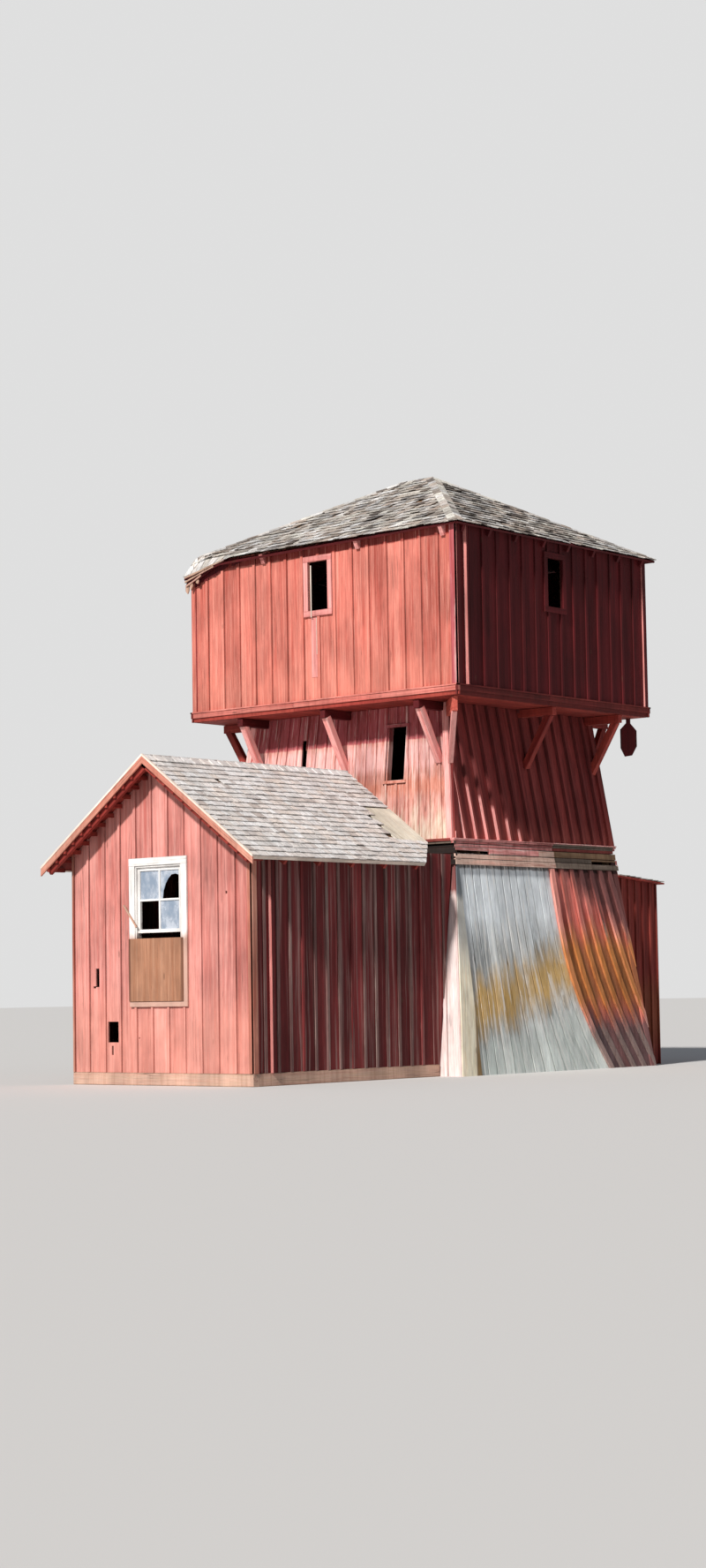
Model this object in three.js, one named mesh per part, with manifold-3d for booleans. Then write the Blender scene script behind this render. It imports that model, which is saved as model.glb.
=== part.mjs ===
// A timber water tower: a battered base and a battered middle tier carry a wider tank room on knee
// braces, under a low hip roof. A gabled annex stands against the front and a low bay against the back.
// Millimetres. X runs to the right as one faces the annex gable, Y to the back, Z up from the ground.

import * as THREE from "three";
import { ConvexGeometry } from "three/addons/geometries/ConvexGeometry.js";
import { mergeVertices } from "three/addons/utils/BufferGeometryUtils.js";
import Module from "manifold-3d";

const wasm = await Module();
wasm.setup();

// General
const GAP = 0.3; // clearance between pieces that meet
const MITRE = 0.25; // each mitred end stands back by this much
const WALL = 100; // studs with boarding
const BOARD = 25; // casings, bargeboards and trim

// Tower, as half widths from its centre line: x to the sides, y to the front and back
const GROUND = { x: 2258, y: 2133, z: 0 };
const BASE_TOP = { x: 1917, y: 1755, z: 2810 };
const SKIRT_Z = 2660;
const SKIRT_TOP_Z = 2930;
const SKIRT_LIP = 40; // how far the lower edge of the skirt stands off the wall
const SKIRT_TOP_LIP = 26;
const MID_FOOT = { x: 1898, y: 1763, z: 3000 };
const MID_HEAD = { x: 1698, y: 1563, z: 4766 };
const MOULDING_PROUD = 45;
const TANK = { x: 2291, y: 2119 };
const TANK_FLOOR_TOP_Z = 4910;
const RIM_PROUD = 35;
const FLOOR_INSET = 15;
const MID_FLOOR_INSET = 26;

// Tank room roof
const EAVE_OUT = 133;
const EAVE_Z = 6975;
const RIDGE_Z = 8121;
const RIDGE_HALF = 282;
const ROOF_THICK = 80; // vertical thickness of deck and shingles
// Rotted front left corner: its folds meet the eaves at x and y and the hip at a share of its length
const DROOP = { x: -1450, y: -1650, hip: 0.08, tip: 0.02, fall: 190 };

// Small windows
const TANK_WINDOW = { width: 340, height: 650, sill: 6080 };
const MID_WINDOW = { x: 880, width: 320, height: 700, sill: 3800, casing: 40 };
const SMALL_CASING = 75;
const BOARD_GAP = { x: -730, width: 90, foot: 4080, head: 4440 }; // a missing strip of boarding

// Knee braces: an arm under the tank room floor and a strut back to the middle tier
const BRACE_WIDE = 90;
const BRACE_DEEP = 95;
const ARM_DEEP = 110;
const STRUT_FOOT_Z = 3960;
const FRONT_BRACES_X = [-1450, 20, 1600];
const SIDE_BRACES_Y = [-1500, -40, 1480];
// At the right the front brace stands out from the corner itself, measured from there along the diagonal
const CORNER_BRACE = { wide: 70, notch: 50, tip: 715, armDeep: 190 };

// A board that hangs loose under the right back corner of the tank room, turned to face between them
const LOOSE_BOARD = { x: 2050, y: 2000, turn: 0.7, neck: 60, wide: 225, foot: 4240, thick: 22 };

// Annex
const ANNEX = { left: -1071, right: 1892, front: -5574 };
const ANNEX_SILL_TOP = 150;
const SILL_PROUD = 12;
const ANNEX_OVERHANG = 283;
const ANNEX_GABLE_OVERHANG = 282;
const ANNEX_EAVE_Z = 2665;
const ANNEX_RIDGE_Z = 3942;
const ANNEX_ROOF_THICK = 80;
const BARGE_DEEP = 118;
// Back end of the annex roof: on the ridge, at the clipped right corner, where the left slope meets the belt
const ROOF_BACK = { ridgeY: -2080, cornerX: 1780, cornerY: -2130, rightEaveY: -2660, leftX: -600 };

// Annex window: a tall opening with its sash above and a plywood sheet below
const CASING = { left: -80, right: 880, foot: 934, head: 2714, wide: 95, sill: 62 };
const JAMB = 20;
const JAMB_DEEP = 75;
const SASH = { foot: 1815, thick: 34, stile: 42, muntin: 24 };
const GLASS = 4;
const PLY = { left: -80, right: 822, foot: 998, head: 1750, thick: 12 };
const WALL_HOLE = { x0: -487, x1: -305, z0: 510, z1: 760 };
const WALL_SLOT = { x0: -690, x1: -630, z0: 1180, z1: 1405 };

// Rear bay and doorways
const BAY = { halfX: 1900, back: 2800, roofZ: 2640, fall: 0.076, thick: 60, overhang: 90 };
const DOOR = { width: 860, head: 2100, casing: 90 };
const INNER_DOOR = { x: 410, width: 860, head: 2100 };
const GROUND_FLOOR = { foot: 60, top: 150 };

// Materials, with the colours of the faded barn red paint, bare timber and shingles
const paint = (color) => new THREE.MeshStandardMaterial({ color, roughness: 0.85, metalness: 0 });
const RED = paint(0xa84a40);
const FADED_RED = paint(0xc07468);
const BARE = paint(0xa39a8c);
const SHINGLE = paint(0x9a938a);
const WHITE = paint(0xd8d2c6);
const PLYWOOD = paint(0xa8704e);
const PANE = new THREE.MeshStandardMaterial({ color: 0xb9c6cc, roughness: 0.15, metalness: 0 });

const tower = new THREE.Group();

// Makes one named piece of the tower.
function piece(name, geometry, material) {
  const mesh = new THREE.Mesh(geometry, material);
  mesh.name = name;
  tower.add(mesh);
  return mesh;
}

// Closed geometry as a solid that can be joined and cut.
function solidOf(geometry) {
  const bare = geometry.clone();
  bare.deleteAttribute("normal");
  bare.deleteAttribute("uv");
  const merged = mergeVertices(bare, 1e-3);
  return new wasm.Manifold(
    new wasm.Mesh({
      numProp: 3,
      vertProperties: merged.attributes.position.array,
      triVerts: new Uint32Array(merged.index.array),
    }),
  );
}

function geometryOf(solid) {
  const mesh = solid.getMesh();
  const geometry = new THREE.BufferGeometry();
  geometry.setAttribute("position", new THREE.BufferAttribute(mesh.vertProperties, 3));
  geometry.setIndex(new THREE.BufferAttribute(mesh.triVerts, 1));
  return geometry;
}

const cut = (geometry, ...tools) =>
  geometryOf(tools.reduce((solid, tool) => solid.subtract(solidOf(tool)), solidOf(geometry)));
const join = (geometry, ...others) =>
  geometryOf(others.reduce((solid, other) => solid.add(solidOf(other)), solidOf(geometry)));

function box(x0, x1, y0, y1, z0, z1) {
  return new THREE.BoxGeometry(x1 - x0, y1 - y0, z1 - z0).translate(
    (x0 + x1) / 2,
    (y0 + y1) / 2,
    (z0 + z1) / 2,
  );
}

function outline(points) {
  return new THREE.Shape(points.map(([a, b]) => new THREE.Vector2(a, b)));
}

// An outline in X and Z, carried along Y.
function alongY(points, y0, y1) {
  return new THREE.ExtrudeGeometry(outline(points), { depth: y1 - y0, bevelEnabled: false })
    .rotateX(Math.PI / 2)
    .translate(0, y1, 0);
}

// An outline in Y and Z, carried along X.
function alongX(points, x0, x1) {
  return alongY(points, -x1, -x0).rotateZ(Math.PI / 2);
}

// The four sides: an along, out and up measure placed on each.
const SIDES = {
  front: { ends: "x", out: "y", place: (a, o, z) => new THREE.Vector3(a, -o, z), turn: 0 },
  right: { ends: "y", out: "x", place: (a, o, z) => new THREE.Vector3(o, a, z), turn: Math.PI / 2 },
  back: { ends: "x", out: "y", place: (a, o, z) => new THREE.Vector3(-a, o, z), turn: Math.PI },
  left: { ends: "y", out: "x", place: (a, o, z) => new THREE.Vector3(-o, -a, z), turn: -Math.PI / 2 },
};

// The half widths of a tier at a height, by its batter.
function tierAt(foot, head, z) {
  const t = (z - foot.z) / (head.z - foot.z);
  return { x: foot.x + (head.x - foot.x) * t, y: foot.y + (head.y - foot.y) * t, z };
}

const grown = (level, by) => ({ x: level.x + by, y: level.y + by, z: level.z });

// One mitred wall of a tier; topRise lifts the inner edge of its head under a sloping roof.
function wallPanel(side, foot, head, topRise = 0) {
  const { ends, out, place } = SIDES[side];
  const points = [];
  for (const level of [foot, head])
    for (const inset of [0, WALL])
      for (const end of [-1, 1]) {
        const rise = level === head && inset ? topRise : 0;
        points.push(place(end * (level[ends] - inset - MITRE), level[out] - inset, level.z + rise));
      }
  return new ConvexGeometry(points);
}

function frustum(foot, head) {
  const points = [];
  for (const level of [foot, head])
    for (const sx of [-1, 1])
      for (const sy of [-1, 1]) points.push(new THREE.Vector3(sx * level.x, sy * level.y, level.z));
  return new ConvexGeometry(points);
}

// A band round a tier: the outer frustum less an inner one that runs past both faces.
function band(footOut, headOut, footIn, headIn) {
  const below = tierAt(footIn, headIn, footIn.z - 10);
  const above = tierAt(footIn, headIn, headIn.z + 10);
  return cut(frustum(footOut, headOut), frustum(below, above));
}

const slab = (level, top) => box(-level.x, level.x, -level.y, level.y, level.z, top);

// A casing round an opening of the given size, standing on the plane Y = 0 and facing -Y.
function casingRing(width, height, wide, thick) {
  const ring = box(-width / 2 - wide, width / 2 + wide, -thick, 0, -wide, height + wide);
  return cut(ring, box(-width / 2, width / 2, -2 * thick, thick, 0, height));
}

// Tower base
function addBase() {
  const opening = (door, y0, y1) =>
    box(door.x - door.width / 2, door.x + door.width / 2, y0, y1, GROUND_FLOOR.top, door.head);
  for (const side of Object.keys(SIDES)) {
    let wall = wallPanel(side, GROUND, BASE_TOP);
    if (side === "front") wall = cut(wall, opening(INNER_DOOR, -3000, -1000));
    if (side === "back") wall = cut(wall, opening({ ...DOOR, x: 0 }, 1000, 3000));
    piece(`base_${side}_wall`, wall, side === "right" ? BARE : RED);
  }
  const floor = grown(tierAt(GROUND, BASE_TOP, GROUND_FLOOR.top), -WALL - GAP);
  piece("base_floor", slab({ ...floor, z: GROUND_FLOOR.foot }, GROUND_FLOOR.top), BARE);
}

// Belt between the tiers
function addBelt() {
  const wallFoot = grown(tierAt(GROUND, BASE_TOP, SKIRT_Z), GAP);
  const wallHead = grown(tierAt(GROUND, BASE_TOP, SKIRT_TOP_Z), GAP);
  const skirt = band(grown(wallFoot, SKIRT_LIP), grown(wallHead, SKIRT_TOP_LIP), wallFoot, wallHead);
  piece("belt_skirt", skirt, BARE);
  const floor = grown(MID_FOOT, -MID_FLOOR_INSET);
  piece("mid_floor", slab({ ...floor, z: BASE_TOP.z }, MID_FOOT.z), BARE);
  const inner = { foot: { ...grown(floor, GAP), z: SKIRT_TOP_Z }, head: grown(floor, GAP) };
  const proud = MID_FLOOR_INSET + MOULDING_PROUD;
  piece(
    "belt_moulding",
    band(grown(inner.foot, proud), grown(inner.head, proud), inner.foot, inner.head),
    RED,
  );
}

// Middle tier
function addMiddle() {
  const window = MID_WINDOW;
  const holes = [
    box(
      window.x - window.width / 2,
      window.x + window.width / 2,
      -2000,
      -1400,
      window.sill,
      window.sill + window.height,
    ),
    box(
      BOARD_GAP.x - BOARD_GAP.width / 2,
      BOARD_GAP.x + BOARD_GAP.width / 2,
      -2000,
      -1400,
      BOARD_GAP.foot,
      BOARD_GAP.head,
    ),
  ];
  for (const side of Object.keys(SIDES)) {
    const wall = wallPanel(side, MID_FOOT, MID_HEAD);
    piece(`mid_${side}_wall`, side === "front" ? cut(wall, ...holes) : wall, RED);
  }
  const lean = Math.atan((MID_FOOT.y - MID_HEAD.y) / (MID_HEAD.z - MID_FOOT.z));
  const casing = piece(
    "mid_window_casing",
    casingRing(window.width, window.height, window.casing, BOARD),
    FADED_RED,
  );
  casing.rotation.x = -lean;
  casing.position.set(window.x, -tierAt(MID_FOOT, MID_HEAD, window.sill).y - GAP / 2, window.sill);
}

// Knee braces
function braceGeometry(face, tip, wide, armDeep) {
  const armTop = MID_HEAD.z - GAP;
  const armFoot = armTop - armDeep;
  const strutHead = STRUT_FOOT_Z + 1.35 * BRACE_DEEP;
  const profile = [
    [face(armTop), armTop],
    [tip, armTop],
    [tip, armFoot + 25],
    [tip - 30, armFoot],
    [face(STRUT_FOOT_Z), STRUT_FOOT_Z],
    [face(strutHead), strutHead],
    [tip - 30 - 1.25 * BRACE_DEEP, armFoot],
    [face(armFoot), armFoot],
  ];
  return alongX(
    profile.map(([o, z]) => [-o, z]).reverse(),
    -wide / 2,
    wide / 2,
  );
}

function sideBrace(side) {
  const { out } = SIDES[side];
  const face = (z) => tierAt(MID_FOOT, MID_HEAD, z)[out] + GAP;
  return braceGeometry(face, TANK[out] - FLOOR_INSET, BRACE_WIDE, ARM_DEEP);
}

// Stands on the diagonal through the corner and is notched over the two walls.
function cornerBrace() {
  const { wide, notch, tip, armDeep } = CORNER_BRACE;
  const corner = (z) => Math.SQRT2 * (tierAt(MID_FOOT, MID_HEAD, z).x - MID_HEAD.x) - notch;
  const brace = braceGeometry(corner, tip, wide, armDeep)
    .rotateZ(Math.PI / 4)
    .translate(MID_HEAD.x, -MID_HEAD.y, 0);
  return cut(brace, frustum(grown(MID_FOOT, GAP), grown(MID_HEAD, GAP)));
}

function addBraces() {
  const places = ["left", "middle", "right"];
  const sidePlaces = ["front", "middle", "back"];
  for (const side of Object.keys(SIDES)) {
    const { ends, turn } = SIDES[side];
    const spots = ends === "x" ? FRONT_BRACES_X : SIDE_BRACES_Y;
    spots.forEach((spot, i) => {
      const where = (ends === "x" ? places : sidePlaces)[i];
      const name = `${side}_brace_${where}`;
      if (name === "right_brace_front") {
        piece(name, cornerBrace(), FADED_RED);
        return;
      }
      const brace = piece(name, sideBrace(side), FADED_RED);
      brace.rotation.z = turn;
      if (ends === "x") brace.position.x = spot;
      else brace.position.y = spot;
    });
  }
}

// Tank room
function addTankRoom() {
  const foot = { ...TANK, z: TANK_FLOOR_TOP_Z + GAP };
  const slopeY = (RIDGE_Z - EAVE_Z) / (TANK.y + EAVE_OUT);
  const head = { ...TANK, z: EAVE_Z - ROOF_THICK + EAVE_OUT * slopeY - 2 * GAP };
  const { width, height, sill } = TANK_WINDOW;
  for (const side of Object.keys(SIDES)) {
    const { out, place, turn } = SIDES[side];
    const hole = box(-width / 2, width / 2, -TANK[out] - 50, -TANK[out] + WALL + 50, sill, sill + height);
    hole.rotateZ(turn);
    const wall = cut(wallPanel(side, foot, head, WALL * slopeY), hole, ...droopCutters(side));
    piece(`tank_${side}_wall`, wall, RED);
    const casing = piece(
      `tank_${side}_window_casing`,
      casingRing(width, height, SMALL_CASING, BOARD),
      FADED_RED,
    );
    casing.rotation.z = turn;
    casing.position.copy(place(0, TANK[out] + GAP, sill));
  }
  const floor = { x: TANK.x - FLOOR_INSET, y: TANK.y - FLOOR_INSET, z: MID_HEAD.z + GAP };
  piece("tank_floor", slab(floor, TANK_FLOOR_TOP_Z), BARE);
  const rimIn = [grown(floor, GAP), { ...grown(floor, GAP), z: TANK_FLOOR_TOP_Z }];
  const proud = FLOOR_INSET + RIM_PROUD;
  piece("tank_rim", band(grown(rimIn[0], proud), grown(rimIn[1], proud), ...rimIn), RED);
}

// The corners of one roof slope: its eave from end to end, then its ridge back again.
function roofCorners(side) {
  const { ends, out } = SIDES[side];
  const eave = { x: TANK.x + EAVE_OUT, y: TANK.y + EAVE_OUT };
  const ridge = ends === "x" ? { a: RIDGE_HALF - MITRE, o: 0 } : { a: 0, o: RIDGE_HALF };
  return [
    [-eave[ends] + MITRE, eave[out], EAVE_Z],
    [eave[ends] - MITRE, eave[out], EAVE_Z],
    [ridge.a, ridge.o + MITRE, RIDGE_Z],
    [-ridge.a, ridge.o + MITRE, RIDGE_Z],
  ];
}

// A slope whose corner droops, as its main part and the flap beyond the fold; null for a sound slope.
function droopingSlope(side) {
  const [start, end, ridgeEnd, ridgeStart] = roofCorners(side);
  const along = (from, to, t) => from.map((value, i) => value + (to[i] - value) * t);
  const split = (corner, ridge, eavePoint) => {
    const fold = along(corner, ridge, DROOP.hip);
    const [tipA, tipO] = along(corner, ridge, DROOP.tip);
    return { fold, flap: [[tipA, tipO, EAVE_Z - DROOP.fall], eavePoint, fold] };
  };
  if (side === "front") {
    const eavePoint = [DROOP.x, start[1], EAVE_Z];
    const { fold, flap } = split(start, ridgeStart, eavePoint);
    return { main: [eavePoint, end, ridgeEnd, ridgeStart, fold], flap };
  }
  if (side === "left") {
    const eavePoint = [-DROOP.y, end[1], EAVE_Z];
    const { fold, flap } = split(end, ridgeEnd, eavePoint);
    return { main: [start, eavePoint, fold, ridgeEnd], flap };
  }
  return null;
}

// A layer of the roof between two depths under its top face.
function roofLayer(side, corners, upper, lower) {
  const { place } = SIDES[side];
  return new ConvexGeometry(
    corners.flatMap(([a, o, z]) => [place(a, o, z - upper), place(a, o, z - lower)]),
  );
}

// What the drooping corner takes off the heads of the two walls that meet under it; each cutter runs
// a little past the hip, so that no sliver of wall is left between them.
function droopCutters(side) {
  if (!droopingSlope(side)) return [];
  const past = 1;
  const cutter = (over) =>
    roofLayer(over, droopingSlope(over).flap, -3 * DROOP.fall, ROOF_THICK + 3 * GAP);
  return [cutter("front").translate(-past, 0, 0), cutter("left").translate(0, -past, 0)];
}

// Hip roof of the tank room: four slopes mitred on the hips, with a short ridge along X
function addTankRoof() {
  const layer = (side, corners) => roofLayer(side, corners, 0, ROOF_THICK);
  for (const side of Object.keys(SIDES)) {
    const slope = droopingSlope(side);
    const geometry = slope
      ? join(layer(side, slope.main), layer(side, slope.flap))
      : layer(side, roofCorners(side));
    piece(`tank_${side}_roof`, geometry, SHINGLE);
  }
}

// The board that hangs by its narrow split end from the tank room floor
function addLooseBoard() {
  const { neck, wide, foot, thick } = LOOSE_BOARD;
  const head = MID_HEAD.z;
  const board = alongY(
    [
      [-neck / 2, head],
      [-neck / 2, head - 60],
      [-wide / 2, head - 150],
      [-wide / 2, foot + 120],
      [-wide / 4, foot],
      [wide / 5, foot + 15],
      [wide / 2, foot + 140],
      [wide / 2, head - 170],
      [neck / 2, head - 70],
      [neck / 2, head],
    ],
    -thick / 2,
    thick / 2,
  );
  const mesh = piece("loose_board", board, RED);
  mesh.rotation.z = LOOSE_BOARD.turn;
  mesh.position.set(LOOSE_BOARD.x, LOOSE_BOARD.y, 0);
}

// Annex
const ridgeX = (ANNEX.left + ANNEX.right) / 2;
const eaveHalf = (ANNEX.right - ANNEX.left) / 2 + ANNEX_OVERHANG;
const annexSlope = (ANNEX_RIDGE_Z - ANNEX_EAVE_Z) / eaveHalf;
const annexRoofTop = (x) => ANNEX_RIDGE_Z - annexSlope * Math.abs(x - ridgeX);
const annexRoofUnder = (x) => annexRoofTop(x) - ANNEX_ROOF_THICK;
const baseFace = (z) => tierAt(GROUND, BASE_TOP, z).y + GAP;
const skirtFace = baseFace(SKIRT_Z) + SKIRT_LIP + GAP;

function addAnnexWalls() {
  const { left, right, front } = ANNEX;
  const foot = ANNEX_SILL_TOP + GAP;
  const opening = {
    left: CASING.left + CASING.wide,
    right: CASING.right - CASING.wide,
    foot: CASING.foot + CASING.sill,
    head: CASING.head - CASING.wide,
  };
  const gable = alongY(
    [
      [left, foot],
      [right, foot],
      [right, annexRoofUnder(right) - 2 * GAP],
      [ridgeX, annexRoofUnder(ridgeX) - 2 * GAP],
      [left, annexRoofUnder(left) - 2 * GAP],
    ],
    front,
    front + WALL,
  );
  const through = (x0, x1, z0, z1) => box(x0, x1, front - 50, front + WALL + 50, z0, z1);
  piece(
    "annex_front_wall",
    cut(
      gable,
      through(opening.left, opening.right, opening.foot, opening.head),
      through(WALL_HOLE.x0, WALL_HOLE.x1, WALL_HOLE.z0, WALL_HOLE.z1),
      through(WALL_SLOT.x0, WALL_SLOT.x1, WALL_SLOT.z0, WALL_SLOT.z1),
    ),
    FADED_RED,
  );
  for (const [name, outer, inner] of [
    ["annex_right_wall", right, right - WALL],
    ["annex_left_wall", left, left + WALL],
  ]) {
    const head = annexRoofUnder(outer) - 2 * GAP;
    const profile = [
      [front + WALL + GAP, foot],
      [-baseFace(foot), foot],
      [-baseFace(SKIRT_Z - GAP), SKIRT_Z - GAP],
      [-skirtFace, SKIRT_Z - GAP],
      [-skirtFace, head],
      [front + WALL + GAP, head],
    ];
    piece(name, alongX(profile, Math.min(outer, inner), Math.max(outer, inner)), RED);
  }
  const y0 = front - SILL_PROUD;
  const y1 = -GROUND.y - GAP;
  const ring = box(left - SILL_PROUD, right + SILL_PROUD, y0, y1, 0, ANNEX_SILL_TOP);
  const inside = box(left + WALL, right - WALL, front + WALL, y1 + 50, -50, ANNEX_SILL_TOP + 50);
  piece("annex_sill", cut(ring, inside), WHITE);
  const floor = box(
    left + WALL + GAP,
    right - WALL - GAP,
    front + WALL + GAP,
    y1,
    GROUND_FLOOR.foot,
    GROUND_FLOOR.top,
  );
  piece("annex_floor", floor, BARE);
  return opening;
}

// Gable roof of the annex, which stops short of the tower on its right slope
function addAnnexRoof() {
  const front = ANNEX.front - ANNEX_GABLE_OVERHANG + BOARD + GAP;
  const beltY = -skirtFace - GAP;
  const rightEave = ridgeX + eaveHalf;
  const leftEave = ridgeX - eaveHalf;
  const slopes = {
    annex_right_roof: [
      [ridgeX + MITRE, front],
      [ridgeX + MITRE, ROOF_BACK.ridgeY],
      [ROOF_BACK.cornerX, ROOF_BACK.cornerY],
      [rightEave, ROOF_BACK.rightEaveY],
      [rightEave, front],
    ],
    annex_left_roof: [
      [ridgeX - MITRE, front],
      [ridgeX - MITRE, ROOF_BACK.ridgeY],
      [ROOF_BACK.leftX, beltY],
      [leftEave, beltY],
      [leftEave, front],
    ],
  };
  for (const [name, plan] of Object.entries(slopes)) {
    const fall = name === "annex_right_roof" ? -annexSlope : annexSlope;
    const slab = new THREE.ExtrudeGeometry(outline(plan), {
      depth: ANNEX_ROOF_THICK,
      bevelEnabled: false,
    });
    slab.translate(0, 0, ANNEX_RIDGE_Z - fall * ridgeX - ANNEX_ROOF_THICK);
    slab.applyMatrix4(new THREE.Matrix4().set(1, 0, 0, 0, 0, 1, 0, 0, fall, 0, 1, 0, 0, 0, 0, 1));
    piece(name, slab, SHINGLE);
  }
  const drop = (x, by) => [x, annexRoofTop(x) - by];
  const boards = [
    drop(leftEave, BARGE_DEEP),
    drop(ridgeX, BARGE_DEEP),
    drop(rightEave, BARGE_DEEP),
    drop(rightEave, 0),
    drop(ridgeX, 0),
    drop(leftEave, 0),
  ];
  const face = ANNEX.front - ANNEX_GABLE_OVERHANG;
  piece("annex_bargeboards", alongY(boards, face, face + BOARD), WHITE);
}

function addAnnexWindow(opening) {
  const face = ANNEX.front;
  const midX = (opening.left + opening.right) / 2;
  const inset = (o, by) => ({
    left: o.left + by,
    right: o.right - by,
    foot: o.foot + by,
    head: o.head - by,
  });
  const ring = (outer, inner, y0, y1) =>
    cut(
      box(outer.left, outer.right, y0, y1, outer.foot, outer.head),
      box(inner.left, inner.right, y0 - BOARD, y1 + BOARD, inner.foot, inner.head),
    );
  const clear = inset(opening, JAMB);
  const boards = ring(CASING, clear, face - BOARD, face - GAP);
  const lining = ring(inset(opening, GAP), clear, face - BOARD / 2, face + JAMB_DEEP);
  piece("annex_window_casing", join(boards, lining), WHITE);

  const left = opening.left + JAMB + GAP;
  const right = opening.right - JAMB - GAP;
  const head = opening.head - JAMB - GAP;
  const y0 = face + 10;
  const y1 = y0 + SASH.thick;
  const meeting = (SASH.foot + head) / 2;
  const panes = [];
  for (const [x0, x1] of [
    [left + SASH.stile, midX - SASH.muntin / 2],
    [midX + SASH.muntin / 2, right - SASH.stile],
  ])
    for (const [z0, z1] of [
      [SASH.foot + SASH.stile, meeting - SASH.muntin / 2],
      [meeting + SASH.muntin / 2, head - SASH.stile],
    ])
      panes.push([x0, x1, z0, z1]);
  const sash = cut(
    box(left, right, y0, y1, SASH.foot, head),
    ...panes.map(([x0, x1, z0, z1]) => box(x0, x1, y0 - 50, y1 + 50, z0, z1)),
  );
  piece("annex_window_sash", sash, WHITE);
  const glassY = (y0 + y1) / 2;
  for (const [name, [x0, x1, z0, z1]] of [
    ["annex_upper_pane", panes[1]],
    ["annex_lower_pane", panes[2]],
  ])
    piece(
      name,
      box(x0 + GAP, x1 - GAP, glassY - GLASS / 2, glassY + GLASS / 2, z0 + GAP, z1 - GAP),
      PANE,
    );
  const plyBack = face - BOARD - GAP;
  piece(
    "annex_window_panel",
    box(PLY.left, PLY.right, plyBack - PLY.thick, plyBack, PLY.foot, PLY.head),
    PLYWOOD,
  );
}

// Rear bay with its doorway
function addRearBay() {
  const roofTop = (y) => BAY.roofZ - BAY.fall * (y - BASE_TOP.y);
  const roofUnder = (y) => roofTop(y) - BAY.thick;
  const headAt = (y) => roofUnder(y) - GAP;
  const { halfX, back } = BAY;
  const seat = baseFace(BAY.roofZ - BAY.thick) + GAP;
  const profile = [
    [baseFace(0), 0],
    [back, 0],
    [back, headAt(back)],
    [seat + GAP, headAt(seat + GAP)],
  ];
  piece("rear_right_wall", alongX(profile, halfX - WALL, halfX), RED);
  piece("rear_left_wall", alongX(profile, -halfX, -halfX + WALL), RED);
  const backWall = box(-halfX + WALL + GAP, halfX - WALL - GAP, back - WALL, back, 0, headAt(back));
  const doorway = box(-DOOR.width / 2, DOOR.width / 2, back - 2 * WALL, back + WALL, -50, DOOR.head);
  piece("rear_back_wall", cut(backWall, doorway), RED);
  const casing = cut(
    box(
      -DOOR.width / 2 - DOOR.casing,
      DOOR.width / 2 + DOOR.casing,
      back + GAP,
      back + BOARD,
      0,
      DOOR.head + DOOR.casing,
    ),
    doorway,
  );
  piece("rear_door_casing", casing, WHITE);
  const roof = [
    [seat, roofUnder(seat)],
    [back + BAY.overhang, roofUnder(back + BAY.overhang)],
    [back + BAY.overhang, roofTop(back + BAY.overhang)],
    [seat, roofTop(seat)],
  ];
  piece("rear_roof", alongX(roof, -halfX - BAY.overhang, halfX + BAY.overhang), SHINGLE);
  piece(
    "rear_floor",
    box(
      -halfX + WALL + GAP,
      halfX - WALL - GAP,
      baseFace(GROUND_FLOOR.foot),
      back - WALL - GAP,
      GROUND_FLOOR.foot,
      GROUND_FLOOR.top,
    ),
    BARE,
  );
}

addBase();
addBelt();
addMiddle();
addBraces();
addTankRoom();
addTankRoof();
addLooseBoard();
addAnnexWindow(addAnnexWalls());
addAnnexRoof();
addRearBay();

// The origin lies on the ground under the middle of the whole outline.
const frontEdge = ANNEX.front - ANNEX_GABLE_OVERHANG;
const backEdge = BAY.back + BAY.overhang;
tower.position.y = -(frontEdge + backEdge) / 2;

export default tower;
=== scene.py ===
# %% [markdown]
# # A timber water tower in faded red paint
# The tower has three storeys of different build: a battered base, a battered middle tier and a wider
# tank room on knee braces, with a gabled annex in front and a low bay behind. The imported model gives
# every wall, roof slope and brace as a plain solid. Here each of them is dressed with the boards,
# battens, shingles and weathering of the real one. The solids could be given only a picture of boards,
# but real boards catch the light and break the outline, so they are built.

# %% Open the frame
import bpy
import math
import random
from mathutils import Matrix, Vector


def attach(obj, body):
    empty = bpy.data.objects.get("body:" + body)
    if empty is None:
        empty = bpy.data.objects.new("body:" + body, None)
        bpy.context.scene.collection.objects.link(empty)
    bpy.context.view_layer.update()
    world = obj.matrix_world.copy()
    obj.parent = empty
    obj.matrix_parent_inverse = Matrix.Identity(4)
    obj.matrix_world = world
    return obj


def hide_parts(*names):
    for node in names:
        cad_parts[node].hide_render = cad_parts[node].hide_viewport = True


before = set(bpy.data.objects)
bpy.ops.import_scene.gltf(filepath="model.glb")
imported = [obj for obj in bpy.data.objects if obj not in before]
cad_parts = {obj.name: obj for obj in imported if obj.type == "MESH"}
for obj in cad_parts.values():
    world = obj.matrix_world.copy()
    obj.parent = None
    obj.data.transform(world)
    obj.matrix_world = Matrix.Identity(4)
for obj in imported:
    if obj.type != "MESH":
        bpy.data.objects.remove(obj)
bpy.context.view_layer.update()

# %% [markdown]
# ## The viewpoint
# The tower is seen from the front right, from a little above the ground and from far off, so the
# uprights stay nearly parallel. The camera could be aimed with a tracking constraint, but its heading,
# pitch and roll are known, so its axes are worked out and set at once. The sensor is fitted to the
# tall side of the picture.

# %% Camera
CAMERA_AT = Vector((22.329, -26.381, 1.098))
HEADING, PITCH, ROLL = (math.radians(angle) for angle in (40.24, 4.5, 0.939))
LENS, SENSOR_HEIGHT = 60.0, 36.0


def placed(name, data):
    """A new object in the scene."""
    made = bpy.data.objects.new(name, data)
    bpy.context.scene.collection.objects.link(made)
    return made


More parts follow.
